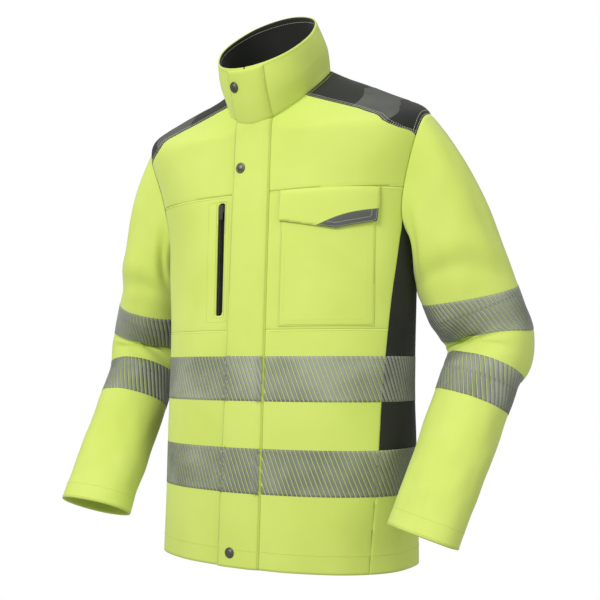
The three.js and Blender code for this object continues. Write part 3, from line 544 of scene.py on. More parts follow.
clear_of_armhole = from_armhole(body) + 0.8  # tucked under the sleeve's edge
before_side = (front_edge(body.up) - body.angle) * MM_PER_DEGREE - SEAM_GAP
behind_side = (body.angle - back_edge(body.up)) * MM_PER_DEGREE - SEAM_GAP
in_side = np.minimum(
    (body.angle - front_edge(body.up)) * MM_PER_DEGREE, (back_edge(body.up) - body.angle) * MM_PER_DEGREE
)
in_side = in_side - SEAM_GAP
below_collar = NECK_UP - body.up
beside_zip = np.abs(body.x) - ZIP_GAP_HALF
on_front = body.angle < 2
on_torso = body.up <= NECK_UP + 0.1
on_collar = body.up >= NECK_UP - 0.1
CHEST_SEAM, LOWER_SEAM = -179, -371
TAPE_WIDTH, LOWER_TAPE, UPPER_TAPE = 62, -BODY_LENGTH + 103, -BODY_LENGTH + 230


def half(side):
    """The points of one side of the body, 1 the wearer's left and -1 the right."""
    return body.x * side > -1e-3


left_front, right_front = (half(side) & on_front & on_torso for side in (1, -1))

def above(z):
    return body.z - z - SEAM_GAP


def below(z):
    return z - body.z - SEAM_GAP


def stand_for(piece, rides_on, slot, *nodes):
    """Places a finished piece in the frame: on its body, with the CAD nodes it stands for hidden; slot, its
    finish, is not used.
    """
    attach(piece, rides_on)
    if nodes:
        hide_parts(*nodes)
    return piece


def declare_sheet(piece):
    """Reads a sheet's flat cut, measured along the cloth, from its UVs, and keeps nothing of it."""
    loops = np.zeros(len(piece.data.loops) * 2)
    piece.data.uv_layers[0].data.foreach_get("uv", loops)


def panel(name, cuts, material, slot, keep, net=body, rides_on="torso", lift=-SHELL_THICK, **shape):
    """A piece of cloth named after the CAD node it stands for; shell panels lie under the surface."""
    piece = cloth_piece(name + "_cloth", net, cuts, material, lift=lift, keep=keep, **shape)
    return stand_for(piece, rides_on, slot, name)


def sheet_panel(*args, **shape):
    """A panel whose flat cut is then read from its UVs."""
    declare_sheet(panel(*args, **shape))


YELLOW, BLACK, SILVER, GREY = "yellow_shell", "black_stretch", "silver_tape", "grey_reflector"
for side, name in ((1, "left"), (-1, "right")):
    here = left_front if side == 1 else right_front
    front = [beside_zip, before_side]
    sheet_panel(
        name + "_front_yoke",
        [*front, above(CHEST_SEAM), clear_of_armhole, below_collar],
        yellow_cloth,
        YELLOW,
        here,
    )
    cuts = [*front, below(CHEST_SEAM), above(LOWER_SEAM), clear_of_armhole]
    if side == 1:
        sheet_panel("left_chest_panel", cuts, yellow_cloth, YELLOW, here)
    sheet_panel(name + "_lower_front", [*front, below(LOWER_SEAM)], yellow_cloth, YELLOW, here)
    side_hem = [in_side, below(LOWER_TAPE + TAPE_WIDTH)]
    sheet_panel(name + "_side_hem", side_hem, yellow_cloth, YELLOW, half(side))
everywhere = np.ones(len(body.points), bool)
back_yoke = [behind_side, above(CHEST_SEAM), clear_of_armhole, below_collar]
sheet_panel("back_yoke", back_yoke, yellow_cloth, YELLOW, on_torso)
back_panel = [behind_side, below(CHEST_SEAM), clear_of_armhole]
sheet_panel("back_panel", back_panel, yellow_cloth, YELLOW, everywhere)

# ---------------------------------------------------------------- chest zip pocket
# The wearer's right chest carries an upright zip pocket. A slot is cut in the panel, its edges are
# turned under and a coil zip is sewn behind it, with the pocket's bag inside.

ZIP_X, ZIP_TOP, ZIP_BOTTOM, SLOT_HALF = -52, -189, -350, 6
slot_middle = (ZIP_TOP + ZIP_BOTTOM) / 2
slot_reach = (ZIP_TOP - ZIP_BOTTOM) / 2
outside_slot = np.maximum(np.abs(body.x - ZIP_X) - SLOT_HALF, np.abs(body.z - slot_middle) - slot_reach)
outside_slot = np.where(body.angle < 0, outside_slot, 100)
sheet_panel(
    "right_chest_panel",
    [beside_zip, before_side, below(CHEST_SEAM), above(LOWER_SEAM), clear_of_armhole, outside_slot],
    yellow_cloth,
    YELLOW,
    right_front,
)

# ---------------------------------------------------------------- black stretch panels
# Side panels under the arms and yokes over the shoulders are cut from black stretch softshell,
# knitted, a little ribbed and quite matt.

black_cloth, tree, shader = new_material(
    "black_stretch_knit", Roughness=0.9, Sheen_Weight=0.12, Sheen_Roughness=0.4
)
mottled(tree, shader, "22241f", "2b2d28", 14.0)
weave_bump(tree, shader, 1.1 * MM, 0.5)
for side, name in ((1, "left"), (-1, "right")):
    side_panel = [in_side, above(LOWER_TAPE + TAPE_WIDTH), clear_of_armhole, ARMHOLE_UP - 8 - body.up]
    sheet_panel(name + "_side_panel", side_panel, black_cloth, BLACK, half(side))
    yoke = [in_side, body.up - ARMHOLE_UP - 8, clear_of_armhole, below_collar]
    sheet_panel(name + "_shoulder_yoke", yoke, black_cloth, BLACK, half(side) & on_torso)

# ---------------------------------------------------------------- shoulder reflectors
# A grey band of ribbed reflective fabric crosses each black yoke, sewn down before the shoulder
# seams are closed. Its fine ribs run across it and it only shines back at a lamp.

reflector_cloth, tree, shader = new_material(
    "ribbed_reflective_fabric", Roughness=0.55, Specular_IOR_Level=0.4
)
mottled(tree, shader, "52554f", "5d6059", 30.0)
weave_bump(tree, shader, 2.2 * MM, 0.6)
for side, name in ((1, "left"), (-1, "right")):
    round_top = np.abs(body.angle - 4)
    band = [
        (body.angle - front_edge(body.up)) * MM_PER_DEGREE - 1.0,
        (back_edge(body.up) - body.angle) * MM_PER_DEGREE - 1.0,
        body.up + np.interp(round_top, [0, 20, 42], [21, 35, 72]),
        38 - 0.7 * round_top - body.up,
    ]
    thin = dict(thick=0.5, lift=0.05, roll=0.3, roll_width=1.0)
    panel(name + "_shoulder_reflector", band, reflector_cloth, GREY, half(side) & on_torso, **thin)

# ---------------------------------------------------------------- patch pocket and its flap
# The wearer's left chest has a patch pocket of the shell fabric with its edges turned under, and a
# flap sewn into the chest seam above it. The flap's lower outer corner is faced in grey reflective.

PATCH_LEFT, PATCH_RIGHT, PATCH_BOTTOM = 47, 170, -367
patch_cuts = [body.x - PATCH_LEFT, PATCH_RIGHT - body.x, below(CHEST_SEAM), body.z - PATCH_BOTTOM]


def patch_lift(net):
    """The pocket lies flat at its sewn edges and stands off a little in the middle."""
    inner = np.minimum(np.minimum(net.x - PATCH_LEFT, PATCH_RIGHT - net.x), net.z - PATCH_BOTTOM)
    return 0.05 + 0.9 * (1 - np.exp(-((np.clip(inner, 0, None) / 22) ** 2)))


PATCH_THICK, FLAP_THICK = 1.6, 1.8
sheet_panel(
    "chest_pocket", patch_cuts, yellow_cloth, YELLOW, left_front, lift=patch_lift, thick=PATCH_THICK, roll=0.8
)


def beside_line(net, start, end):
    """Distance in mm to the right of a line on the front, from one (x, z) corner to the next."""
    dx, dz = end[0] - start[0], end[1] - start[1]
    return (dx * (net.z - start[1]) - dz * (net.x - start[0])) / math.hypot(dx, dz)


def in_trim(net):
    """Distance below the trim's arched upper edge, in mm."""
    along = np.clip((net.x - TRIM_LINE[1][0]) / (TRIM_LINE[0][0] - TRIM_LINE[1][0]), 0, 1)
    return beside_line(net, *TRIM_LINE) + TRIM_ARCH * np.sin(math.pi * along)


FLAP_CORNERS = [(44, -179.3), (44, -221), (125, -236), (172, -226), (178, -179.3)]
TRIM_LINE, TRIM_ARCH = ((177, -208), (99, -231)), 4.0
flap_cuts = [
    beside_line(body, corner, FLAP_CORNERS[(k + 1) % len(FLAP_CORNERS)])
    for k, corner in enumerate(FLAP_CORNERS)
]


def flap_lift(net):
    """The flap springs from the chest seam, lies over the pocket and lifts at its free edge."""
    down = np.clip(-179 - net.z, 0, 60)
    return 0.3 + 2.6 * (1 - np.exp(-down / 9)) + 1.6 * (down / 55) ** 3


sheet_panel(
    "pocket_flap",
    flap_cuts,
    yellow_cloth,
    YELLOW,
    left_front,
    rides_on="pocket_flap",
    lift=flap_lift,
    thick=FLAP_THICK,
    roll=0.8,
)
panel(
    "pocket_flap_trim",
    [*[cut - 0.6 for cut in flap_cuts], in_trim(body)],
    reflector_cloth,
    GREY,
    left_front,
    rides_on="pocket_flap",
    lift=lambda net: flap_lift(net) + 1.72,
    thick=0.5,
    roll=0.4,
    roll_width=1.2,
)

# ---------------------------------------------------------------- storm flap and collar tab
# A double strip of shell fabric is sewn to the wearer's left front and laps over the zip to the
# right, held by snaps. It goes on up the collar as a tab. Folded and pressed, with topstitched edges.

FLAP_SEAM_X, FLAP_EDGE_TOP_X, FLAP_EDGE_HEM_X, FLAP_RAISE = 28, -30, -40, 3.2


def storm_edge(z):
    return FLAP_EDGE_TOP_X + (FLAP_EDGE_HEM_X - FLAP_EDGE_TOP_X) * (z + 81) / (81 - BODY_LENGTH)


def storm_rise(x, z):
    """Flat at its seam, raised over the zip and the snaps, and lower again at its free edge."""
    from_seam = np.clip(FLAP_SEAM_X - x, 0, None)
    from_edge = np.clip(x - storm_edge(z), 0, None)
    raised = 0.1 + (FLAP_RAISE - 0.1) * (1 - np.exp(-((from_seam / 7) ** 2)))
    return raised - 1.5 * np.exp(-((from_edge / 5) ** 2))


def storm_lift(net):
    return storm_rise(net.x, net.z)


TAB_EDGE_X = -28
storm_cuts = [body.x - storm_edge(body.z), FLAP_SEAM_X - body.x]
tab_cuts = [body.x - TAB_EDGE_X, FLAP_SEAM_X - body.x, body.up - NECK_UP - 0.4, RIM_UP - 4 - body.up]
for name, cuts, where in (
    ("storm_flap", [*storm_cuts, NECK_UP - 0.4 - body.up], on_torso),
    ("collar_tab", tab_cuts, on_collar),
):
    pressed = dict(rides_on=name, lift=storm_lift, roll=0.9, roll_width=2.4)
    sheet_panel(name, cuts, yellow_cloth, YELLOW, on_front & where, **pressed)

# ---------------------------------------------------------------- collar, lining and hanger loop
# The stand collar is two layers of shell fabric turned at the rim, lined in black knit, with a strip
# of the knit sewn inside the back of the neck as a hanger loop.

collar_slit = np.where(body.angle > 0, 100, np.abs(body.x) - 1)
collar_cuts = [body.up - NECK_UP - 0.3, collar_slit]
sheet_panel("collar", collar_cuts, yellow_cloth, YELLOW, on_collar, roll=0.8)
sheet_panel("collar_lining", collar_cuts, black_cloth, BLACK, on_collar, thick=1.1, lift=-3.2, roll=0.3)

LOOP_HALF, LOOP_DROOP, LOOP_TALL, LOOP_THICK = 32, 12, 6, 1.4
LOOP_RINGS, LOOP_SIDES, NECK_SAMPLES = 41, 16, 81
inside_columns = np.interp(np.linspace(50, 130, NECK_SAMPLES), column_angle, np.arange(BODY_COLUMNS))
loop_row = np.interp(NECK_UP + 16, body_rows, np.arange(len(body_rows)))
neck_line = body.at(np.full(NECK_SAMPLES, loop_row), inside_columns, np.full(NECK_SAMPLES, -4.9))
neck_line = neck_line[np.argsort(neck_line[:, 0])]
loop_x = np.linspace(-LOOP_HALF, LOOP_HALF, LOOP_RINGS)
loop_y = np.interp(loop_x, neck_line[:, 0], neck_line[:, 1])
loop_y = loop_y - LOOP_DROOP * (1 - (loop_x / LOOP_HALF) ** 4)
loop_z = np.interp(loop_x, neck_line[:, 0], neck_line[:, 2]) - 1.5 * (1 - (loop_x / LOOP_HALF) ** 2)
round_it = np.linspace(0, 2 * math.pi, LOOP_SIDES, endpoint=False)
section_y = LOOP_THICK / 2 * np.sign(np.cos(round_it)) * np.abs(np.cos(round_it)) ** 0.5
section_z = LOOP_TALL / 2 * np.sign(np.sin(round_it)) * np.abs(np.sin(round_it)) ** 0.35
loop_points = np.stack(
    [
        np.repeat(loop_x, LOOP_SIDES),
        (loop_y[:, None] + section_y - LOOP_THICK / 2).ravel(),
        (loop_z[:, None] + section_z).ravel(),
    ],
    1,
)
loop_faces = [
    (ring + j, ring + (j + 1) % LOOP_SIDES, ring + LOOP_SIDES + (j + 1) % LOOP_SIDES, ring + LOOP_SIDES + j)
    for ring in range(0, LOOP_SIDES * (LOOP_RINGS - 1), LOOP_SIDES)
    for j in range(LOOP_SIDES)
]
last_ring = LOOP_SIDES * (LOOP_RINGS - 1)
loop_faces += [tuple(range(LOOP_SIDES - 1, -1, -1)), tuple(range(last_ring, last_ring + LOOP_SIDES))]
loop_uvs = np.stack([np.repeat(loop_x, LOOP_SIDES), np.tile(round_it * 2, LOOP_RINGS)], 1)
hanger = mesh_object("hanger_loop_strip", loop_points, loop_faces, [black_cloth], loop_uvs)
stand_for(hanger, "torso", BLACK, "hanger_loop")

# ---------------------------------------------------------------- body tapes
# Silver retroreflective film, pressed on hot in slanting segments so that it stretches with the
# cloth. Glass beads in the film make it a flat grey in daylight, brighter where it faces a light.
# The lighter patches mottled into its grey are painted sheen.

silver_film, tree, shader = new_material("glass_bead_reflective_film", Roughness=0.5, Specular_IOR_Level=0.5)
# the lighter patches of this mottle are painted sheen
mottled(tree, shader, "7d8276", "a2a79a", 11.0, (0.38, 0.62))
SEGMENT_PITCH, SEGMENT_WIDTH, FILM_THICK = 6.6, 5.5, 0.35
BODY_TAPE_LEAN, SLEEVE_TAPE_LEAN = 25, 22
FLAP_TOP = FLAP_RAISE + SHELL_THICK
LEVELS = 17  # points up each segment


def segments(name, net, rows, arc, ends, lift, lean, mirrored=False, tilt=None):
    """Slanting segments between two rows of a net; ends(level) are their limits round it, in mm."""
    level = np.linspace(0, 1, LEVELS)
    row = rows[0] + (rows[1] - rows[0]) * level
    low, high = ends(level)
    first = math.floor((min(low.min(), high.min()) - abs(lean)) / SEGMENT_PITCH)
    last = math.ceil((max(low.max(), high.max()) + abs(lean)) / SEGMENT_PITCH)
    points, faces, uvs = [], [], []
    columns = np.arange(len(arc))
    for k in range(first, last + 1):
        middle = k * SEGMENT_PITCH - lean * (level - 0.5)
        left = np.clip(middle - SEGMENT_WIDTH / 2, low, high)
        right = np.clip(middle + SEGMENT_WIDTH / 2, low, high)
        whole = np.nonzero(right - left > 0.4)[0]
        if len(whole) < 2:
            continue
        part = slice(whole[0], whole[-1] + 1)
        count = whole[-1] + 1 - whole[0]
        across = np.stack([left, (left + right) / 2, right], 1)[part]
        column = np.interp(across, arc, columns)
        rows_here = np.repeat(row[part, None], 3, axis=1)
        if tilt is not None:
            rows_here = rows_here + tilt(column)
        start = len(points)
        for height in (FILM_THICK, 0.0):
            points.extend(net.at(rows_here, column, lift + height).reshape(-1, 3))
            uvs.extend(np.stack([across, rows_here * ROW_STEP], -1).reshape(-1, 2))
        below_by = 3 * count
        for j in range(count - 1):
            for i in range(2):
                a = start + 3 * j + i
                faces.append((a, a + 1, a + 4, a + 3))
                faces.append((a + 3 + below_by, a + 4 + below_by, a + 1 + below_by, a + below_by))
        top = 3 * (count - 1)
        rim = [start, start + 1, start + 2]
        rim += [start + 3 * j + 2 for j in range(1, count - 1)]
        rim += [start + top + 2, start + top + 1, start + top]
        rim += [start + 3 * j for j in range(count - 2, 0, -1)]
        for a, b in zip(rim, rim[1:] + rim[:1]):
            faces.append((b, a, a + below_by, b + below_by))
    if mirrored:
        faces = [face[::-1] for face in faces]
    return mesh_object(name, points, faces, [silver_film], np.array(uvs))


def row_of(up):
    return np.interp(up, body_rows, np.arange(len(body_rows)))


for name, bottom in (("upper", UPPER_TAPE), ("lower", LOWER_TAPE)):
    rows = row_of(np.array([bottom, bottom + TAPE_WIDTH]))
    line = body.points.reshape(body.rows, body.columns, 3)[int(rows.mean())]
    steps = np.linalg.norm(np.diff(np.concatenate([line, line[:1]]), axis=0), axis=1)
    once = np.concatenate([[0], np.cumsum(steps)])
    girth = once[-1]
    arc = np.concatenate([once, once[1:] + girth])  # twice round, so that limits may pass the front
    tape_start, tape_end = np.full(LEVELS, FLAP_SEAM_X + 0.6), np.full(LEVELS, girth - ZIP_GAP_HALF)
    band = segments(
        name + "_body_tape_film", body, rows, arc, lambda level: (tape_start, tape_end), 0.02, BODY_TAPE_LEAN
    )
    stand_for(band, "torso", SILVER, name + "_body_tape")
    levels = bottom + TAPE_WIDTH * np.linspace(0, 1, LEVELS)
    flap_start, flap_end = girth + storm_edge(levels) + 1.0, np.full(LEVELS, girth + FLAP_SEAM_X - 1.0)
    band = segments(
        name + "_flap_tape_film",
        body,
        rows,
        arc,
        lambda level: (flap_start, flap_end),
        FLAP_TOP,
        BODY_TAPE_LEAN,
    )
    stand_for(band, "storm_flap", SILVER, name + "_flap_tape")

# ---------------------------------------------------------------- zips
# Coil zips in dark plastic on knitted tape: one from the neck to a box at the hem, hidden by the
# storm flap, and one behind the chest pocket's slot. Sliders are cast zinc, enamelled dark grey.

zip_plastic, tree, shader = new_material("dark_zip_coil_and_enamel", Roughness=0.42)
mottled(tree, shader, "2a2b29", "3a3c37", 60.0)
zip_place = node(tree, "ShaderNodeTexCoord")
cast_skin = node(tree, "ShaderNodeTexNoise", [("Vector", zip_place.outputs["Object"])], Scale=900.0)
skin_bump = node(
    tree, "ShaderNodeBump", [("Height", cast_skin.outputs["Fac"])], Strength=0.15, Distance=0.1 * MM
)
tree.links.new(skin_bump.outputs["Normal"], shader.inputs["Normal"])


def repeat_tree(name, make_shape, turn_axis="X"):
    """A node tree that sets one small shape along a run of edges, by pitch, length, width and material."""
    tree = bpy.data.node_groups.new(name, "GeometryNodeTree")
    tree.interface.new_socket("Run", in_out="INPUT", socket_type="NodeSocketGeometry")
    for label in ("Pitch", "Length", "Width", "Unevenness"):
        tree.interface.new_socket(label, in_out="INPUT", socket_type="NodeSocketFloat")
    tree.interface.new_socket("Material", in_out="INPUT", socket_type="NodeSocketMaterial")
    tree.interface.new_socket("Mesh", in_out="OUTPUT", socket_type="NodeSocketGeometry")
    given = node(tree, "NodeGroupInput")
    run = node(tree, "GeometryNodeMeshToCurve", [("Mesh", given.outputs["Run"])])
    spaced = node(
        tree,
        "GeometryNodeResampleCurve",
        [("Curve", run.outputs["Curve"]), ("Length", given.outputs["Pitch"])],
        mode="LENGTH",
    )
    along = node(tree, "GeometryNodeInputTangent")
    turned = node(tree, "FunctionNodeAlignRotationToVector", [("Vector", along.outputs[0])], axis=turn_axis)
    wobble = node(tree, "FunctionNodeRandomValue", data_type="FLOAT")
    least = node(tree, "ShaderNodeMath", [(1, given.outputs["Unevenness"])], operation="SUBTRACT")
    least.inputs[0].default_value = 1.0
    tree.links.new(least.outputs[0], wobble.inputs[2])
    wobble.inputs[3].default_value = 1.0
    wobble.inputs["Seed"].default_value = 7
    size = node(
        tree,
        "ShaderNodeCombineXYZ",
        [("X", given.outputs["Length"]), ("Y", given.outputs["Width"]), ("Z", given.outputs["Width"])],
    )
    placed = node(
        tree,
        "GeometryNodeInstanceOnPoints",
        [
            ("Points", spaced.outputs["Curve"]),
            ("Instance", make_shape(tree)),
            ("Rotation", turned.outputs["Rotation"]),
        ],
    )
    scaled = node(
        tree, "ShaderNodeVectorMath", [(0, size.outputs[0]), ("Scale", wobble.outputs[1])], operation="SCALE"
    )
    tree.links.new(scaled.outputs[0], placed.inputs["Scale"])
    real = node(tree, "GeometryNodeRealizeInstances", [("Geometry", placed.outputs["Instances"])])
    finish = node(
        tree,
        "GeometryNodeSetMaterial",
        [("Geometry", real.outputs["Geometry"]), ("Material", given.outputs["Material"])],
    )
    node(tree, "NodeGroupOutput", [("Mesh", finish.outputs["Geometry"])])
    return tree


def along_runs(name, tree, runs, material, pitch, length, width, unevenness=0.1):
    """Plain mesh of the tree's shape repeated along runs of points given in mm."""
    points, edges = [], []
    for run in runs:
        edges += [(len(points) + k, len(points) + k + 1) for k in range(len(run) - 1)]
        points += list(run)
    mesh = bpy.data.meshes.new(name + "_run")
    mesh.from_pydata((np.array(points) * MM).tolist(), edges, [])
    carrier = bpy.data.objects.new(name + "_run", mesh)
    bpy.context.collection.objects.link(carrier)
    modifier = carrier.modifiers.new("repeat", "NODES")
    modifier.node_group = tree
    values = {"Pitch": pitch * MM, "Length": length * MM, "Width": width * MM}
    values.update({"Unevenness": unevenness, "Material": material})
    for item in tree.interface.items_tree:
        if item.in_out == "INPUT" and item.name in values:
            modifier[item.identifier] = values[item.name]
    carrier.update_tag()
    graph = bpy.context.evaluated_depsgraph_get()
    made_mesh = bpy.data.meshes.new_from_object(carrier.evaluated_get(graph))
    made_mesh.name = name
    made = bpy.data.objects.new(name, made_mesh)
    bpy.context.collection.objects.link(made)
    made_mesh.polygons.foreach_set("use_smooth", [True] * len(made_mesh.polygons))
    bpy.data.objects.remove(carrier)
    return made


def coil_turn(tree):
    """One turn of the coil, lying across the zip."""
    bead = node(tree, "GeometryNodeMeshUVSphere", Segments=8, Rings=5, Radius=0.5)
    turned = node(tree, "GeometryNodeTransform", [("Geometry", bead.outputs["Mesh"])])
    turned.inputs["Scale"].default_value = (0.34, 1.0, 0.42)
    return turned.outputs["Geometry"]


coil_tree = repeat_tree("zip_coil", coil_turn)


def front_points(x, z, lift=0.0):
    """Points on the front of the body at x and z, by sliding along each level row."""
    x, z = np.broadcast_arrays(np.asarray(x, float), np.asarray(z, float))
    row = np.interp(z, front_levels, np.arange(len(front_levels)))
    column = x / 4.3
    for _ in range(12):
        here = body.at(row, column, np.zeros(x.shape))
        ahead = body.at(row, column + 0.5, np.zeros(x.shape))
        column = column + np.clip(0.5 * (x - here[..., 0]) / (ahead[..., 0] - here[..., 0]), -4, 4)
        row = row + np.clip((z - here[..., 2]) / ROW_STEP, -3, 3)
    return body.at(row, column, np.broadcast_to(lift, x.shape))


def zip_coil(name, x, levels, lift):
    """The two halves of a closed coil, half a pitch apart, on either side of x."""
    half_wide = 1.3
    runs = [
        front_points(x - half_wide, levels, lift),
        front_points(x + half_wide, levels + COIL_PITCH / 2, lift),
    ]
    teeth = along_runs(
        name + "_coil", coil_tree, runs, zip_plastic, COIL_PITCH, COIL_SIZE, COIL_SIZE, unevenness=0.05
    )
    stand_for(teeth, "torso", "zip_dark", name + "_teeth")


COIL_PITCH, COIL_SIZE = 1.6, 3.9
knitted_tape = dict(thick=0.8, roll=0.2, roll_width=1.0)
front_levels = body.points.reshape(body.rows, body.columns, 3)[:, 0, 2]
ZIP_TOP_Z, ZIP_FOOT_Z = -96, -688
for side, name in ((1, "left"), (-1, "right")):
    cuts = [side * body.x - 2.4, 20 - side * body.x, below(ZIP_TOP_Z), above(ZIP_FOOT_Z)]
    here = left_front if side == 1 else right_front
    panel(name + "_front_zip_tape", cuts, black_cloth, BLACK, here, lift=-3.2, **knitted_tape)
zip_coil("front_zip", 0, np.linspace(ZIP_FOOT_Z + 2, ZIP_TOP_Z, 150), -2.0)
tape_cuts = [13.5 - np.abs(body.x - ZIP_X), below(-183), above(-356)]
panel("chest_zip_tape", tape_cuts, black_cloth, BLACK, right_front, lift=-3.9, **knitted_tape)
zip_coil("chest_zip", ZIP_X, np.linspace(-349, ZIP_TOP - 2, 60), -2.1)
bag_cuts = [body.x + 79, -36 - body.x, below(-186), above(-365)]
sheet_panel("chest_pocket_bag", bag_cuts, black_cloth, BLACK, right_front, thick=0.9, lift=-5.6, roll=0.3)


def rounded(name, node_name, material, slot, rides_on, width=0.35, segments=3):
    """The frame's own piece with its edges rounded, as cast or moulded."""
    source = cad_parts[node_name]
    mesh = source.data.copy()
    made = bpy.data.objects.new(name, mesh)
    made.matrix_world = source.matrix_world.copy()
    bpy.context.collection.objects.link(made)
    weld = made.modifiers.new("weld", "WELD")
    weld.merge_threshold = 0.01 * MM
    bevel = made.modifiers.new("edges", "BEVEL")
    bevel.width, bevel.segments, bevel.limit_method = width * MM, segments, "ANGLE"
    bevel.angle_limit = math.radians(40)
    bpy.context.view_layer.update()
    done = bpy.data.meshes.new_from_object(made.evaluated_get(bpy.context.evaluated_depsgraph_get()))
    done.transform(made.matrix_world)
    bpy.data.objects.remove(made)
    done.materials.clear()
    done.materials.append(material)
    done.polygons.foreach_set("use_smooth", [False] * len(done.polygons))
    done.name = name
    piece = bpy.data.objects.new(name, done)
    bpy.context.collection.objects.link(piece)
    return stand_for(piece, rides_on, slot, node_name)


rounded("front_zip_slider_cast", "front_zip_slider", zip_plastic, "zip_dark", "front_slider", 0.5)
rounded("front_zip_box_moulded", "front_zip_box", zip_plastic, "zip_dark", "torso", 0.6)
rounded("chest_zip_slider_cast", "chest_zip_slider", zip_plastic, "zip_dark", "chest_slider", 0.5)
rounded("chest_zip_pull_tab", "chest_zip_pull", zip_plastic, BLACK, "chest_pull", 0.45)

# ---------------------------------------------------------------- snaps
# Press fasteners of brass plated to gunmetal: a domed cap over a socket on the flap, and a stud
# riveted through the front below it.

gunmetal, tree, shader = new_material("gunmetal_plated_brass", Roughness=0.46, Metallic=0.8)
mottled(tree, shader, "5c5e52", "727466", 120.0)
SNAP_X, SNAP_RADIUS, SNAP_DOME, HEM_SNAP_Z = -17, 7.5, 2.6, -680


def turned_piece(name, profile, place, axis, material, sides=48):
    """A piece turned from a closed outline of (radius, height) points, in mm, starting on the axis."""
    turn = np.arange(sides) / sides * 2 * math.pi
    points, faces, rings = [], [], []
    for radius, height in profile:
        if radius < 1e-6:
            rings.append([len(points)])
            points.append((0, 0, height))
        else:
            rings.append(list(range(len(points), len(points) + sides)))
            points += [(radius * math.cos(t), radius * math.sin(t), height) for t in turn]
    closing = [] if len(rings[0]) == 1 else [(rings[-1], rings[0])]
    for lower, upper in [*zip(rings, rings[1:]), *closing]:
        for k in range(sides):
            j = (k + 1) % sides
            if len(lower) == 1 and len(upper) > 1:
                faces.append((lower[0], upper[k], upper[j])[::-1])
            elif len(upper) == 1 and len(lower) > 1:
                faces.append((lower[k], lower[j], upper[0]))
            elif len(lower) > 1:
                faces.append((lower[k], lower[j], upper[j], upper[k]))
    turn_to = Vector(axis).to_track_quat("Z", "Y").to_matrix()
    points = np.array(points) @ np.array(turn_to).T + place
    return mesh_object(name, points, faces, [material])


def bowed(start, end, bulge, steps=6):
    """Points along a rounded corner from one profile point to the next."""
    t = np.linspace(0, 1, steps)[:, None]
    corner = np.array([max(start[0], end[0]), max(start[1], end[1])])
    middle = (np.array(start) + np.array(end)) / 2 * (1 - bulge) + corner * bulge
    return ((1 - t) ** 2 * np.array(start) + 2 * t * (1 - t) * middle + t**2 * np.array(end)).tolist()


for place, drop in (("collar", -31), ("chest", -143), ("hem", HEM_SNAP_Z)):
    flap_body = "collar_tab" if place == "collar" else "storm_flap"
    spot, raised = front_points(SNAP_X, drop), front_points(SNAP_X, drop, 1.0)
    axis = raised - spot
    axis /= np.linalg.norm(axis)
    base = FLAP_RAISE + 1.9
    cap = [
        (0, base),
        (SNAP_RADIUS - 0.3, base),
        (SNAP_RADIUS, base + 0.3),
        *bowed((SNAP_RADIUS, base + 0.6), (SNAP_RADIUS - 1.6, base + 1.55), 1.0),
        (SNAP_RADIUS - 2.2, base + 1.35),
        *bowed((SNAP_RADIUS - 2.7, base + 1.45), (1.5, base + SNAP_DOME), 0.55),
        (0, base + SNAP_DOME + 0.05),
    ]
    socket = [(2.6, 1.3), (5.2, 1.3), (5.5, 1.6), (5.5, 2.5), (5.2, 2.8), (2.9, 2.8), (2.6, 2.5)]
    stud = [(0, 0.05), (5.3, 0.05), (5.5, 0.3), (5.3, 0.7), (2.6, 0.85), (2.0, 1.2), (2.0, 1.7), (2.2, 2.1)]
    stud += [(1.9, 2.4), (0, 2.5)]
    for shape, outline, rides_on, part in (
        ("dome", cap, flap_body, "cap"),
        ("ring", socket, flap_body, "socket"),
        ("post", stud, "torso", "stud"),
    ):
        made = turned_piece(f"{place}_snap_{shape}", outline, spot, axis, gunmetal)
        stand_for(made, rides_on, "gunmetal", f"{place}_snap_{part}")

# ---------------------------------------------------------------- sleeves
# Each sleeve is a set-in tube of the shell fabric, cut with a bent elbow and hemmed over a facing at
# the cuff. It creases inside the elbow and falls in soft slanting folds above and below it.

SLEEVE_START, ELBOW = np.array([213, -5, -160]), np.array([296, 42, -395])
CUFF = np.array([265, -133, -634])
BEND_RADIUS, SLEEVE_TAPE, CREASE, CREASE_ANGLE, CREASE_REACH = 55, 61, 0.32, -29, 62
upper_arm, lower_arm = ELBOW - SLEEVE_START, CUFF - ELBOW
upper_way = upper_arm / np.linalg.norm(upper_arm)
lower_way = lower_arm / np.linalg.norm(lower_arm)
bend = math.acos(upper_way @ lower_way)
bend_way = (lower_way - upper_way * math.cos(bend)) / math.sin(bend)
bend_start = np.linalg.norm(upper_arm) - BEND_RADIUS * math.tan(bend / 2)
bend_end = bend_start + BEND_RADIUS * bend
bend_middle = (bend_start + bend_end) / 2
sleeve_end = bend_end + np.linalg.norm(lower_arm) - BEND_RADIUS * math.tan(bend / 2)
full_round = bend_start - SLEEVE_TAPE - 9
size_stops = np.array([full_round, bend_middle, bend_end + SLEEVE_TAPE / 2, sleeve_end])


def sleeve_axis(along):
    """Where the sleeve's axis is and which way it runs, at distances along it."""
    along = np.asarray(along, float)[..., None]
    turn = np.clip(along - bend_start, 0, BEND_RADIUS * bend) / BEND_RADIUS
    at = SLEEVE_START + upper_way * np.minimum(along, bend_start)
    at = at + upper_way * BEND_RADIUS * np.sin(turn) + bend_way * BEND_RADIUS * (1 - np.cos(turn))
    at = at + lower_way * np.clip(along - bend_end, 0, None)
    return at, upper_way * np.cos(turn) + bend_way * np.sin(turn)


FOREARM_ROLL = 24


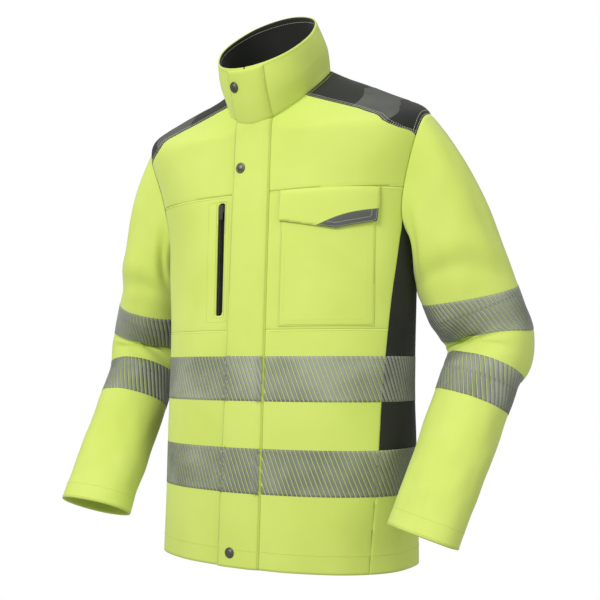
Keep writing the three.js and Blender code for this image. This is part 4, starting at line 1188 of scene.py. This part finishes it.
def tube_point(along, turn):
    """The sleeve's surface; turn is 0 at the front, 90 outside, in degrees."""
    at, way = sleeve_axis(along)
    forward = np.array([0, -1, 0]) + way * way[..., 1:2]
    forward = forward / np.linalg.norm(forward, axis=-1, keepdims=True)
    outward = np.cross(forward, way)
    out_size = curve_through(size_stops, np.array([66, 65, 55, 54.5]), np.asarray(along, float))
    front_size = curve_through(size_stops, np.array([62, 62, 47, 38]), np.asarray(along, float))
    # the forearm's flat faces look a little inward
    roll = np.interp(along, [bend_start, bend_end], [0, FOREARM_ROLL])
    c, s = np.cos(np.radians(roll))[..., None], np.sin(np.radians(roll))[..., None]
    outward, forward = outward * c + forward * s, forward * c - outward * s
    near = np.minimum(np.abs(along - bend_middle) / CREASE_REACH, 1)
    facing = np.clip(np.cos(np.radians(turn - CREASE_ANGLE)), 0, None)
    press = 1 - CREASE * np.cos(near * math.pi / 2) ** 2 * facing**2
    side, ahead = np.sin(np.radians(turn + roll)), np.cos(np.radians(turn + roll))
    sideways, onward = (out_size * press * side)[..., None], (front_size * press * ahead)[..., None]
    return at + outward * sideways + forward * onward


def armhole_ring(turn, side):
    """Points just outside the armhole's edge of one side, as if it were the body's left."""
    c, s = np.cos(np.radians(turn)), np.sin(np.radians(turn))
    n = ARMHOLE_SQUARENESS
    size = (1 + 1.0 / ARMHOLE_SCALE) / (np.abs(c) ** n + np.abs(s) ** n) ** (1 / n)
    angle = ARMHOLE_ANGLE - size * ARMHOLE_HALF_ANGLE * c
    up = ARMHOLE_UP + size * ARMHOLE_HEIGHT * s
    column = np.interp(angle if side > 0 else 180 - angle, column_angle, np.arange(BODY_COLUMNS))
    return body.at(row_of(up), column, np.full(angle.shape, 1.2)) * np.array([side, 1, 1])


SLEEVE_COLUMNS = 144
sleeve_turn = np.arange(SLEEVE_COLUMNS) * 360 / SLEEVE_COLUMNS
cap_shares = np.linspace(0, 1, 48)[:-1]
tube_along = np.concatenate(
    [
        np.linspace(full_round, bend_start, 22)[:-1],
        np.linspace(bend_start, bend_end, 30)[:-1],
        np.linspace(bend_end, sleeve_end, 78),
    ]
)
sleeve_along = np.concatenate([full_round * cap_shares, tube_along])
row_along = np.repeat(sleeve_along[:, None], SLEEVE_COLUMNS, 1)
SAG_STOPS = [full_round, bend_start, bend_end, bend_end + SLEEVE_TAPE, sleeve_end]


def sleeve_surface(side, sag, lowest):
    """A whole sleeve; its rings of cloth sit sag mm lower where turn is `lowest`, higher opposite."""
    down = np.interp(tube_along, SAG_STOPS, sag)[:, None] * np.cos(np.radians(sleeve_turn - lowest))
    lowered = tube_along[:, None] + down
    tube = tube_point(lowered, np.broadcast_to(sleeve_turn, lowered.shape))
    armhole = armhole_ring(sleeve_turn, side)
    reach = np.linalg.norm(tube[0] - armhole, axis=1, keepdims=True)
    leave = (tube[0] - armhole) * 0.75 + np.array([0.35, 0, -0.1]) * reach
    arrive = (tube[1] - tube[0]) / np.linalg.norm(tube[1] - tube[0], axis=1, keepdims=True) * reach
    t = cap_shares[:, None, None]
    cap = armhole * (2 * t**3 - 3 * t**2 + 1) + leave * (t**3 - 2 * t**2 + t)
    cap = cap + tube[0] * (3 * t**2 - 2 * t**3) + arrive * (t**3 - t**2)
    return np.concatenate([cap, tube])


def sleeve_folds(net, seed):
    """How far the cloth stands off the smooth sleeve: slanting folds, and creases inside the elbow."""
    along, turn = net.along, np.radians(net.turn)
    turn = np.where(turn > math.pi, turn - 2 * math.pi, turn)
    slant = along + 26 * np.sin(turn + 0.6)
    from_ends = np.clip(along / 50, 0, 1) * np.clip((sleeve_end - along) / 50 + 0.25, 0, 1)
    place = np.stack([70 * np.cos(turn), 70 * np.sin(turn), slant], 1)
    soft = 2.3 * waves(place, (62, 62, 78), seed) + 1.0 * waves(place, (34, 34, 40), seed + 3.3)
    elbow = np.exp(-(((along - bend_middle) / 36) ** 2))
    inside = np.clip(np.cos(turn - math.radians(CREASE_ANGLE)), 0, None)
    outside = np.clip(-np.cos(turn - math.radians(CREASE_ANGLE)), 0, None)
    ripple = np.cos((slant - bend_middle) / 25 * 2 * math.pi) * elbow * inside**1.5 * 1.7
    stretch = np.cos((along - bend_middle) / 38 * 2 * math.pi + 3 * np.sin(turn)) * elbow * outside * 0.9
    # one long soft fold runs down to the elbow, and a short one crosses the front of the armhole
    pull = along - (bend_start - SLEEVE_TAPE - 34) - 30 * np.sin(turn - 0.9)
    fold = 3.0 * np.exp(-((pull / 17) ** 2)) * np.clip(np.cos(turn - 0.5), 0, 1) ** 1.5
    fold -= 2.6 * np.exp(-(((pull - 24) / 13) ** 2)) * np.clip(np.cos(turn - 0.2), 0, 1) ** 2
    across = (turn + 0.62 + (along - 60) * 0.0035) * 62
    near_arm = np.exp(-(((along - 62) / 48) ** 2))
    hollow = np.where(np.abs(across) < 180, across, 180)
    fold += near_arm * (3.4 * np.exp(-(((hollow - 20) / 13) ** 2)) - 3.0 * np.exp(-((hollow / 9) ** 2)))
    return (soft * (1 - 0.4 * elbow) + ripple + stretch + fold) * from_ends


def tape_tilt(column, is_lower, side):
    """How many rows lower the tape sits round the sleeve: it is sewn on aslant, down on the outside."""
    outer = np.sin(column * 2 * math.pi / SLEEVE_COLUMNS)
    if is_lower:
        return 1.3 if side > 0 else 4.0
    return 3.1 + 3.6 * outer if side > 0 else 4.0 + 1.5 * outer


sleeves = []
seam_a, seam_b = bend_start - SLEEVE_TAPE / 2, bend_end + SLEEVE_TAPE / 2
FACING_LENGTH = 38
FIRST_AT = 40.0  # mm round the sleeve where a tape's first segment starts
for side, name, seed in ((1, "left", 1.7), (-1, "right", 6.1)):
    sag, lowest = ([0, 8, 18, 20, 18], 30) if side > 0 else ([0, 4, 9, 9, 9], -40)
    surface = sleeve_surface(side, sag, lowest) * np.array([side, 1, 1])
    sleeve = Net(surface, inward=side > 0, along=row_along, turn=sleeve_turn[None, :])
    ring = np.linalg.norm(np.diff(surface, axis=1, append=surface[:, :1]), axis=2)
    mean_ring = np.concatenate([[0], np.cumsum(ring.mean(axis=0))])
    sleeve.facts["around"] = np.broadcast_to(mean_ring[:-1], row_along.shape).reshape(-1)
    sleeve.facts["up"] = -sleeve.along
    stand_off = sleeve_folds(sleeve, seed)
    sleeve.points = sleeve.points + sleeve.normals * stand_off[:, None]
    sleeve.find_normals()
    sleeves.append((name, sleeve))
    along = sleeve.along
    parts = {}
    for part, cuts in (
        ("upper_sleeve", [seam_a - 0.1 - along]),
        ("elbow_sleeve", [along - seam_a - 0.1, seam_b - 0.1 - along]),
        ("lower_sleeve", [along - seam_b - 0.1]),
    ):
        piece = cloth_piece(
            f"{name}_{part}_cloth",
            sleeve,
            cuts,
            yellow_cloth,
            lift=-SHELL_THICK,
            roll=0.3 if part == "elbow_sleeve" else 0.6,
            roll_width=1.5,
        )
        parts[part] = piece
        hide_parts(f"{name}_{part}")
        declare_sheet(piece)
    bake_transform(parts["upper_sleeve"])
    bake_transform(parts["elbow_sleeve"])
    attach(parts["lower_sleeve"], name + "_lower_sleeve")
    turned_in = dict(net=sleeve, rides_on=name + "_lower_sleeve", thick=1.2, lift=-3.4, roll_width=1.5)
    in_facing = [along - sleeve_end + FACING_LENGTH]
    panel(name + "_cuff_facing", in_facing, yellow_cloth, YELLOW, None, **turned_in)
    rows_all = np.arange(sleeve.rows)
    for tape, start in (("upper", bend_start - SLEEVE_TAPE), ("lower", bend_end)):
        rows = np.interp(np.array([start, start + SLEEVE_TAPE]), sleeve_along, rows_all)
        line = sleeve.points.reshape(sleeve.rows, SLEEVE_COLUMNS, 3)[int(rows.mean())]
        steps = np.linalg.norm(np.diff(np.concatenate([line, line[:1]]), axis=0), axis=1)
        arc = np.concatenate([[0], np.cumsum(steps)])
        count = round(arc[-1] / SEGMENT_PITCH)
        arc = np.concatenate([arc, arc[1:] + arc[-1]]) * count * SEGMENT_PITCH / arc[-1]
        whole = count * SEGMENT_PITCH
        lean = -SLEEVE_TAPE_LEAN * side
        # each segment is whole: the limits slant with them
        slope = -lean * (np.linspace(0, 1, LEVELS) - 0.5)
        limits = (FIRST_AT + slope + SEGMENT_PITCH / 2, FIRST_AT + whole + slope + SEGMENT_PITCH / 2)
        film = segments(
            f"{name}_{tape}_sleeve_tape_film",
            sleeve,
            rows,
            arc,
            lambda level, limits=limits: limits,
            0.15,
            lean,
            mirrored=side > 0,
            tilt=lambda column, low=tape == "lower", side=side: tape_tilt(column, low, side),
        )
        stand_for(film, f"{name}_{tape}_sleeve", SILVER, f"{name}_{tape}_sleeve_tape")

# ---------------------------------------------------------------- stitching
# Lockstitch in bonded polyester thread: yellow thread on the yellow shell, pale thread in double rows
# on the black yokes and the reflective corner. Each stitch is 2.6 mm long and sinks in at its ends.

yellow_thread, tree, shader = new_material("yellow_polyester_thread", Roughness=0.6)
mottled(tree, shader, "c6d85a", "d2e264", 200.0)
pale_thread, tree, shader = new_material("pale_polyester_thread", Roughness=0.6)
mottled(tree, shader, "c2c4ae", "d2d4be", 200.0)


def stitch_shape(tree):
    """One stitch, a little spindle lying along its run."""
    bead = node(tree, "GeometryNodeMeshUVSphere", Segments=6, Rings=5, Radius=0.5)
    return bead.outputs["Mesh"]


stitch_tree = repeat_tree("lockstitch", stitch_shape)


def line_on(net, value, where, lift=0.0, keep=None):
    """Open runs of points lift mm off the net where value is zero, kept where `where` is positive."""
    value = np.where(np.abs(value) < 1e-6, 1e-6, value)
    triangles = net.triangles if keep is None else net.triangles[keep[net.triangles].all(axis=1)]
    positive = value[triangles] > 0
    crossed = triangles[positive.any(axis=1) & ~positive.all(axis=1)]
    raised = net.points + net.normals * np.broadcast_to(np.asarray(lift, float), value.shape)[:, None]
    spots, links = {}, {}
    for corners in crossed:
        ends = []
        for k in range(3):
            a, b = sorted((int(corners[k]), int(corners[(k + 1) % 3])))
            if (value[a] > 0) == (value[b] > 0):
                continue
            if (a, b) not in spots:
                s = value[a] / (value[a] - value[b])
                wanted = where[a] * (1 - s) + where[b] * s
                spots[a, b] = (raised[a] * (1 - s) + raised[b] * s, wanted)
            ends.append((a, b))
        if all(spots[end][1] > 0 for end in ends):
            links.setdefault(ends[0], []).append(ends[1])
            links.setdefault(ends[1], []).append(ends[0])
    runs, left = [], set(links)
    starts = [spot for spot in links if len(links[spot]) == 1] + list(links)
    for start in starts:
        if start not in left:
            continue
        run, here = [], start
        while here is not None:
            left.discard(here)
            run.append(spots[here][0])
            here = next((spot for spot in links[here] if spot in left), None)
        if len(run) > 3:
            runs.append(run)
    return runs


def sew(name, runs, thread, rides_on, slot, width=0.75):
    """Stitches along the runs, as one piece that rides on one body."""
    piece = along_runs(name, stitch_tree, runs, thread, 3.3, 2.7, width, 0.12)
    return stand_for(piece, rides_on, slot)


def every(*limits):
    """The least of several limits, point by point."""
    return np.minimum.reduce([np.broadcast_to(limit, limits[0].shape) for limit in limits])


STITCH_LIFT, HEM_DEPTH = 0.12, 25
in_yoke = every(body.angle - front_edge(body.up), back_edge(body.up) - body.angle)
pale_runs, yellow_runs = [], []
top_of_arm = every(body.up + 112, NECK_UP - 1 - body.up)
for side in (1, -1):
    here = half(side) & on_torso
    for step in (1.8, 7.2):
        value = (body.angle - front_edge(body.up)) * MM_PER_DEGREE - step
        lift = np.where(body.angle > -60, 0.55, STITCH_LIFT)
        pale_runs += line_on(body, value, every(top_of_arm, from_armhole(body) - 3), lift, here)
        value = (back_edge(body.up) - body.angle) * MM_PER_DEGREE - step
        pale_runs += line_on(body, value, every(top_of_arm, from_armhole(body) - 3), lift, here)
        inside = every(in_yoke * MM_PER_DEGREE - step, top_of_arm)
        pale_runs += line_on(body, from_armhole(body) - step - 1, inside, STITCH_LIFT, here)
    front_only = here & on_front
    clear_of_flap = every(side * body.x - (FLAP_SEAM_X + 2 if side > 0 else 41), before_side - 2)
    for seam in (CHEST_SEAM, LOWER_SEAM):
        visible = every(clear_of_flap, clear_of_armhole - 2)
        if side > 0:
            beside_pocket = np.maximum(43 - body.x, body.x - 179)
            visible = every(visible, beside_pocket) if seam == CHEST_SEAM else visible
        yellow_runs += line_on(body, body.z - seam + 2.6, visible, STITCH_LIFT, front_only)
    side_edge = every(CHEST_SEAM - 30 - body.z, body.z - LOWER_TAPE - TAPE_WIDTH)
    yellow_runs += line_on(body, before_side - 2.2, side_edge, STITCH_LIFT, front_only)
hem_visible = np.where(body.angle > 0, 10.0, np.abs(body.x + 6) - 35)
yellow_runs += line_on(body, body.up + BODY_LENGTH - HEM_DEPTH, hem_visible, STITCH_LIFT, everywhere)
yellow_runs += line_on(body, body.up - NECK_UP + 2.4, hem_visible - 2, STITCH_LIFT, on_torso)
back_only = body.angle > 0
beside_arm = every(behind_side, clear_of_armhole)
yellow_runs += line_on(body, body.z - CHEST_SEAM + 2.6, beside_arm, STITCH_LIFT, back_only)
bag_line = np.maximum(np.abs(body.x + 57) - 18.5, np.abs(body.z + 273) - 86)
yellow_runs += line_on(body, bag_line, every(-38 - body.x, -182 - body.z), STITCH_LIFT, right_front)
yellow_runs += line_on(body, outside_slot - 2.6, every(-182 - body.z, -40 - body.x), STITCH_LIFT, right_front)
patch_inside = every(*patch_cuts)
pocket_top = patch_lift(body) + PATCH_THICK + STITCH_LIFT
for step in (2.0, 8.0):
    value = every(body.x - PATCH_LEFT, PATCH_RIGHT - body.x, body.z - PATCH_BOTTOM) - step
    yellow_runs += line_on(body, value, every(-236 - body.z, patch_inside), pocket_top - 0.25, left_front)
sew("shell_topstitching", yellow_runs, yellow_thread, "torso", YELLOW)
rim_line = RIM_UP - 8 - body.up
pale_runs += line_on(body, rim_line, collar_slit - 2, -3.25, on_collar)
sew("pale_topstitching", pale_runs, pale_thread, "torso", YELLOW, 0.85)
clear_of_tab = np.where(body.angle > 0, 10, np.abs(body.x) - 30)
collar_runs = line_on(body, RIM_UP - 5 - body.up, clear_of_tab, 0.1, on_collar)
sew("collar_topstitching", collar_runs, yellow_thread, "torso", YELLOW)
flap_inside = every(*flap_cuts)
flap_top = flap_lift(body) + FLAP_THICK + STITCH_LIFT
trim_side = in_trim(body)
below_seam = -183 - body.z
flap_runs = line_on(body, flap_inside - 2.0, every(-trim_side, below_seam), flap_top - 0.25, left_front)
sew("pocket_flap_topstitching", flap_runs, yellow_thread, "pocket_flap", YELLOW)
trim_runs = line_on(body, flap_inside - 2.0, every(trim_side - 1, below_seam), flap_top + 0.22, left_front)
trim_runs += line_on(body, flap_inside - 7.5, every(trim_side - 1, below_seam), flap_top + 0.3, left_front)
sew("pocket_trim_topstitching", trim_runs, pale_thread, "pocket_flap", GREY, 0.85)
storm_top = storm_lift(body) + SHELL_THICK + STITCH_LIFT
for name, cuts, keep, ends in (
    ("storm_flap", storm_cuts, on_torso, (NECK_UP - 2 - body.up, body.up + BODY_LENGTH - 2)),
    ("collar_tab", tab_cuts, on_collar, (RIM_UP - 6 - body.up, body.up - NECK_UP - 2)),
):
    runs = []
    for step, edge in ((2.2, cuts[0]), (2.0, cuts[1])):
        runs += line_on(body, edge - step, every(*ends), storm_top + 0.05, keep & on_front)
    if name == "storm_flap":
        clear_of_snap = np.hypot(body.x - SNAP_X, body.z - HEM_SNAP_Z) - 9
        hem_row = every(body.x - storm_edge(body.z) - 3, FLAP_SEAM_X - 3 - body.x, clear_of_snap)
        runs += line_on(body, body.up + BODY_LENGTH - HEM_DEPTH, hem_row, storm_top, keep & on_front)
    sew(name + "_topstitching", runs, yellow_thread, name, YELLOW)
zigzag_runs = []
for bottom in (UPPER_TAPE, LOWER_TAPE):
    up = np.arange(bottom - 2, bottom + TAPE_WIDTH + 2, 3.1)
    lean_to = np.where(np.arange(len(up)) % 2 == 0, -2.6, 2.6)
    for middle in (storm_edge(up) + 4.5, np.full(len(up), FLAP_SEAM_X - 4.5)):
        x = middle + lean_to
        on_film = storm_rise(x, up) + SHELL_THICK + 0.45
        zigzag_runs.append(list(front_points(x, up, on_film)))
sew("tape_zigzag", zigzag_runs, yellow_thread, "storm_flap", YELLOW, 1.1)
for name, net in sleeves:
    for part, lines in (
        ("upper_sleeve", (seam_a - 3,)),
        ("lower_sleeve", (seam_b + 3, sleeve_end - 24, sleeve_end - 3)),
    ):
        runs = []
        for level in lines:
            runs += line_on(net, net.along - level, np.full(len(net.along), 1.0), STITCH_LIFT)
        sew(f"{name}_{part}_topstitching", runs, yellow_thread, f"{name}_{part}", YELLOW)
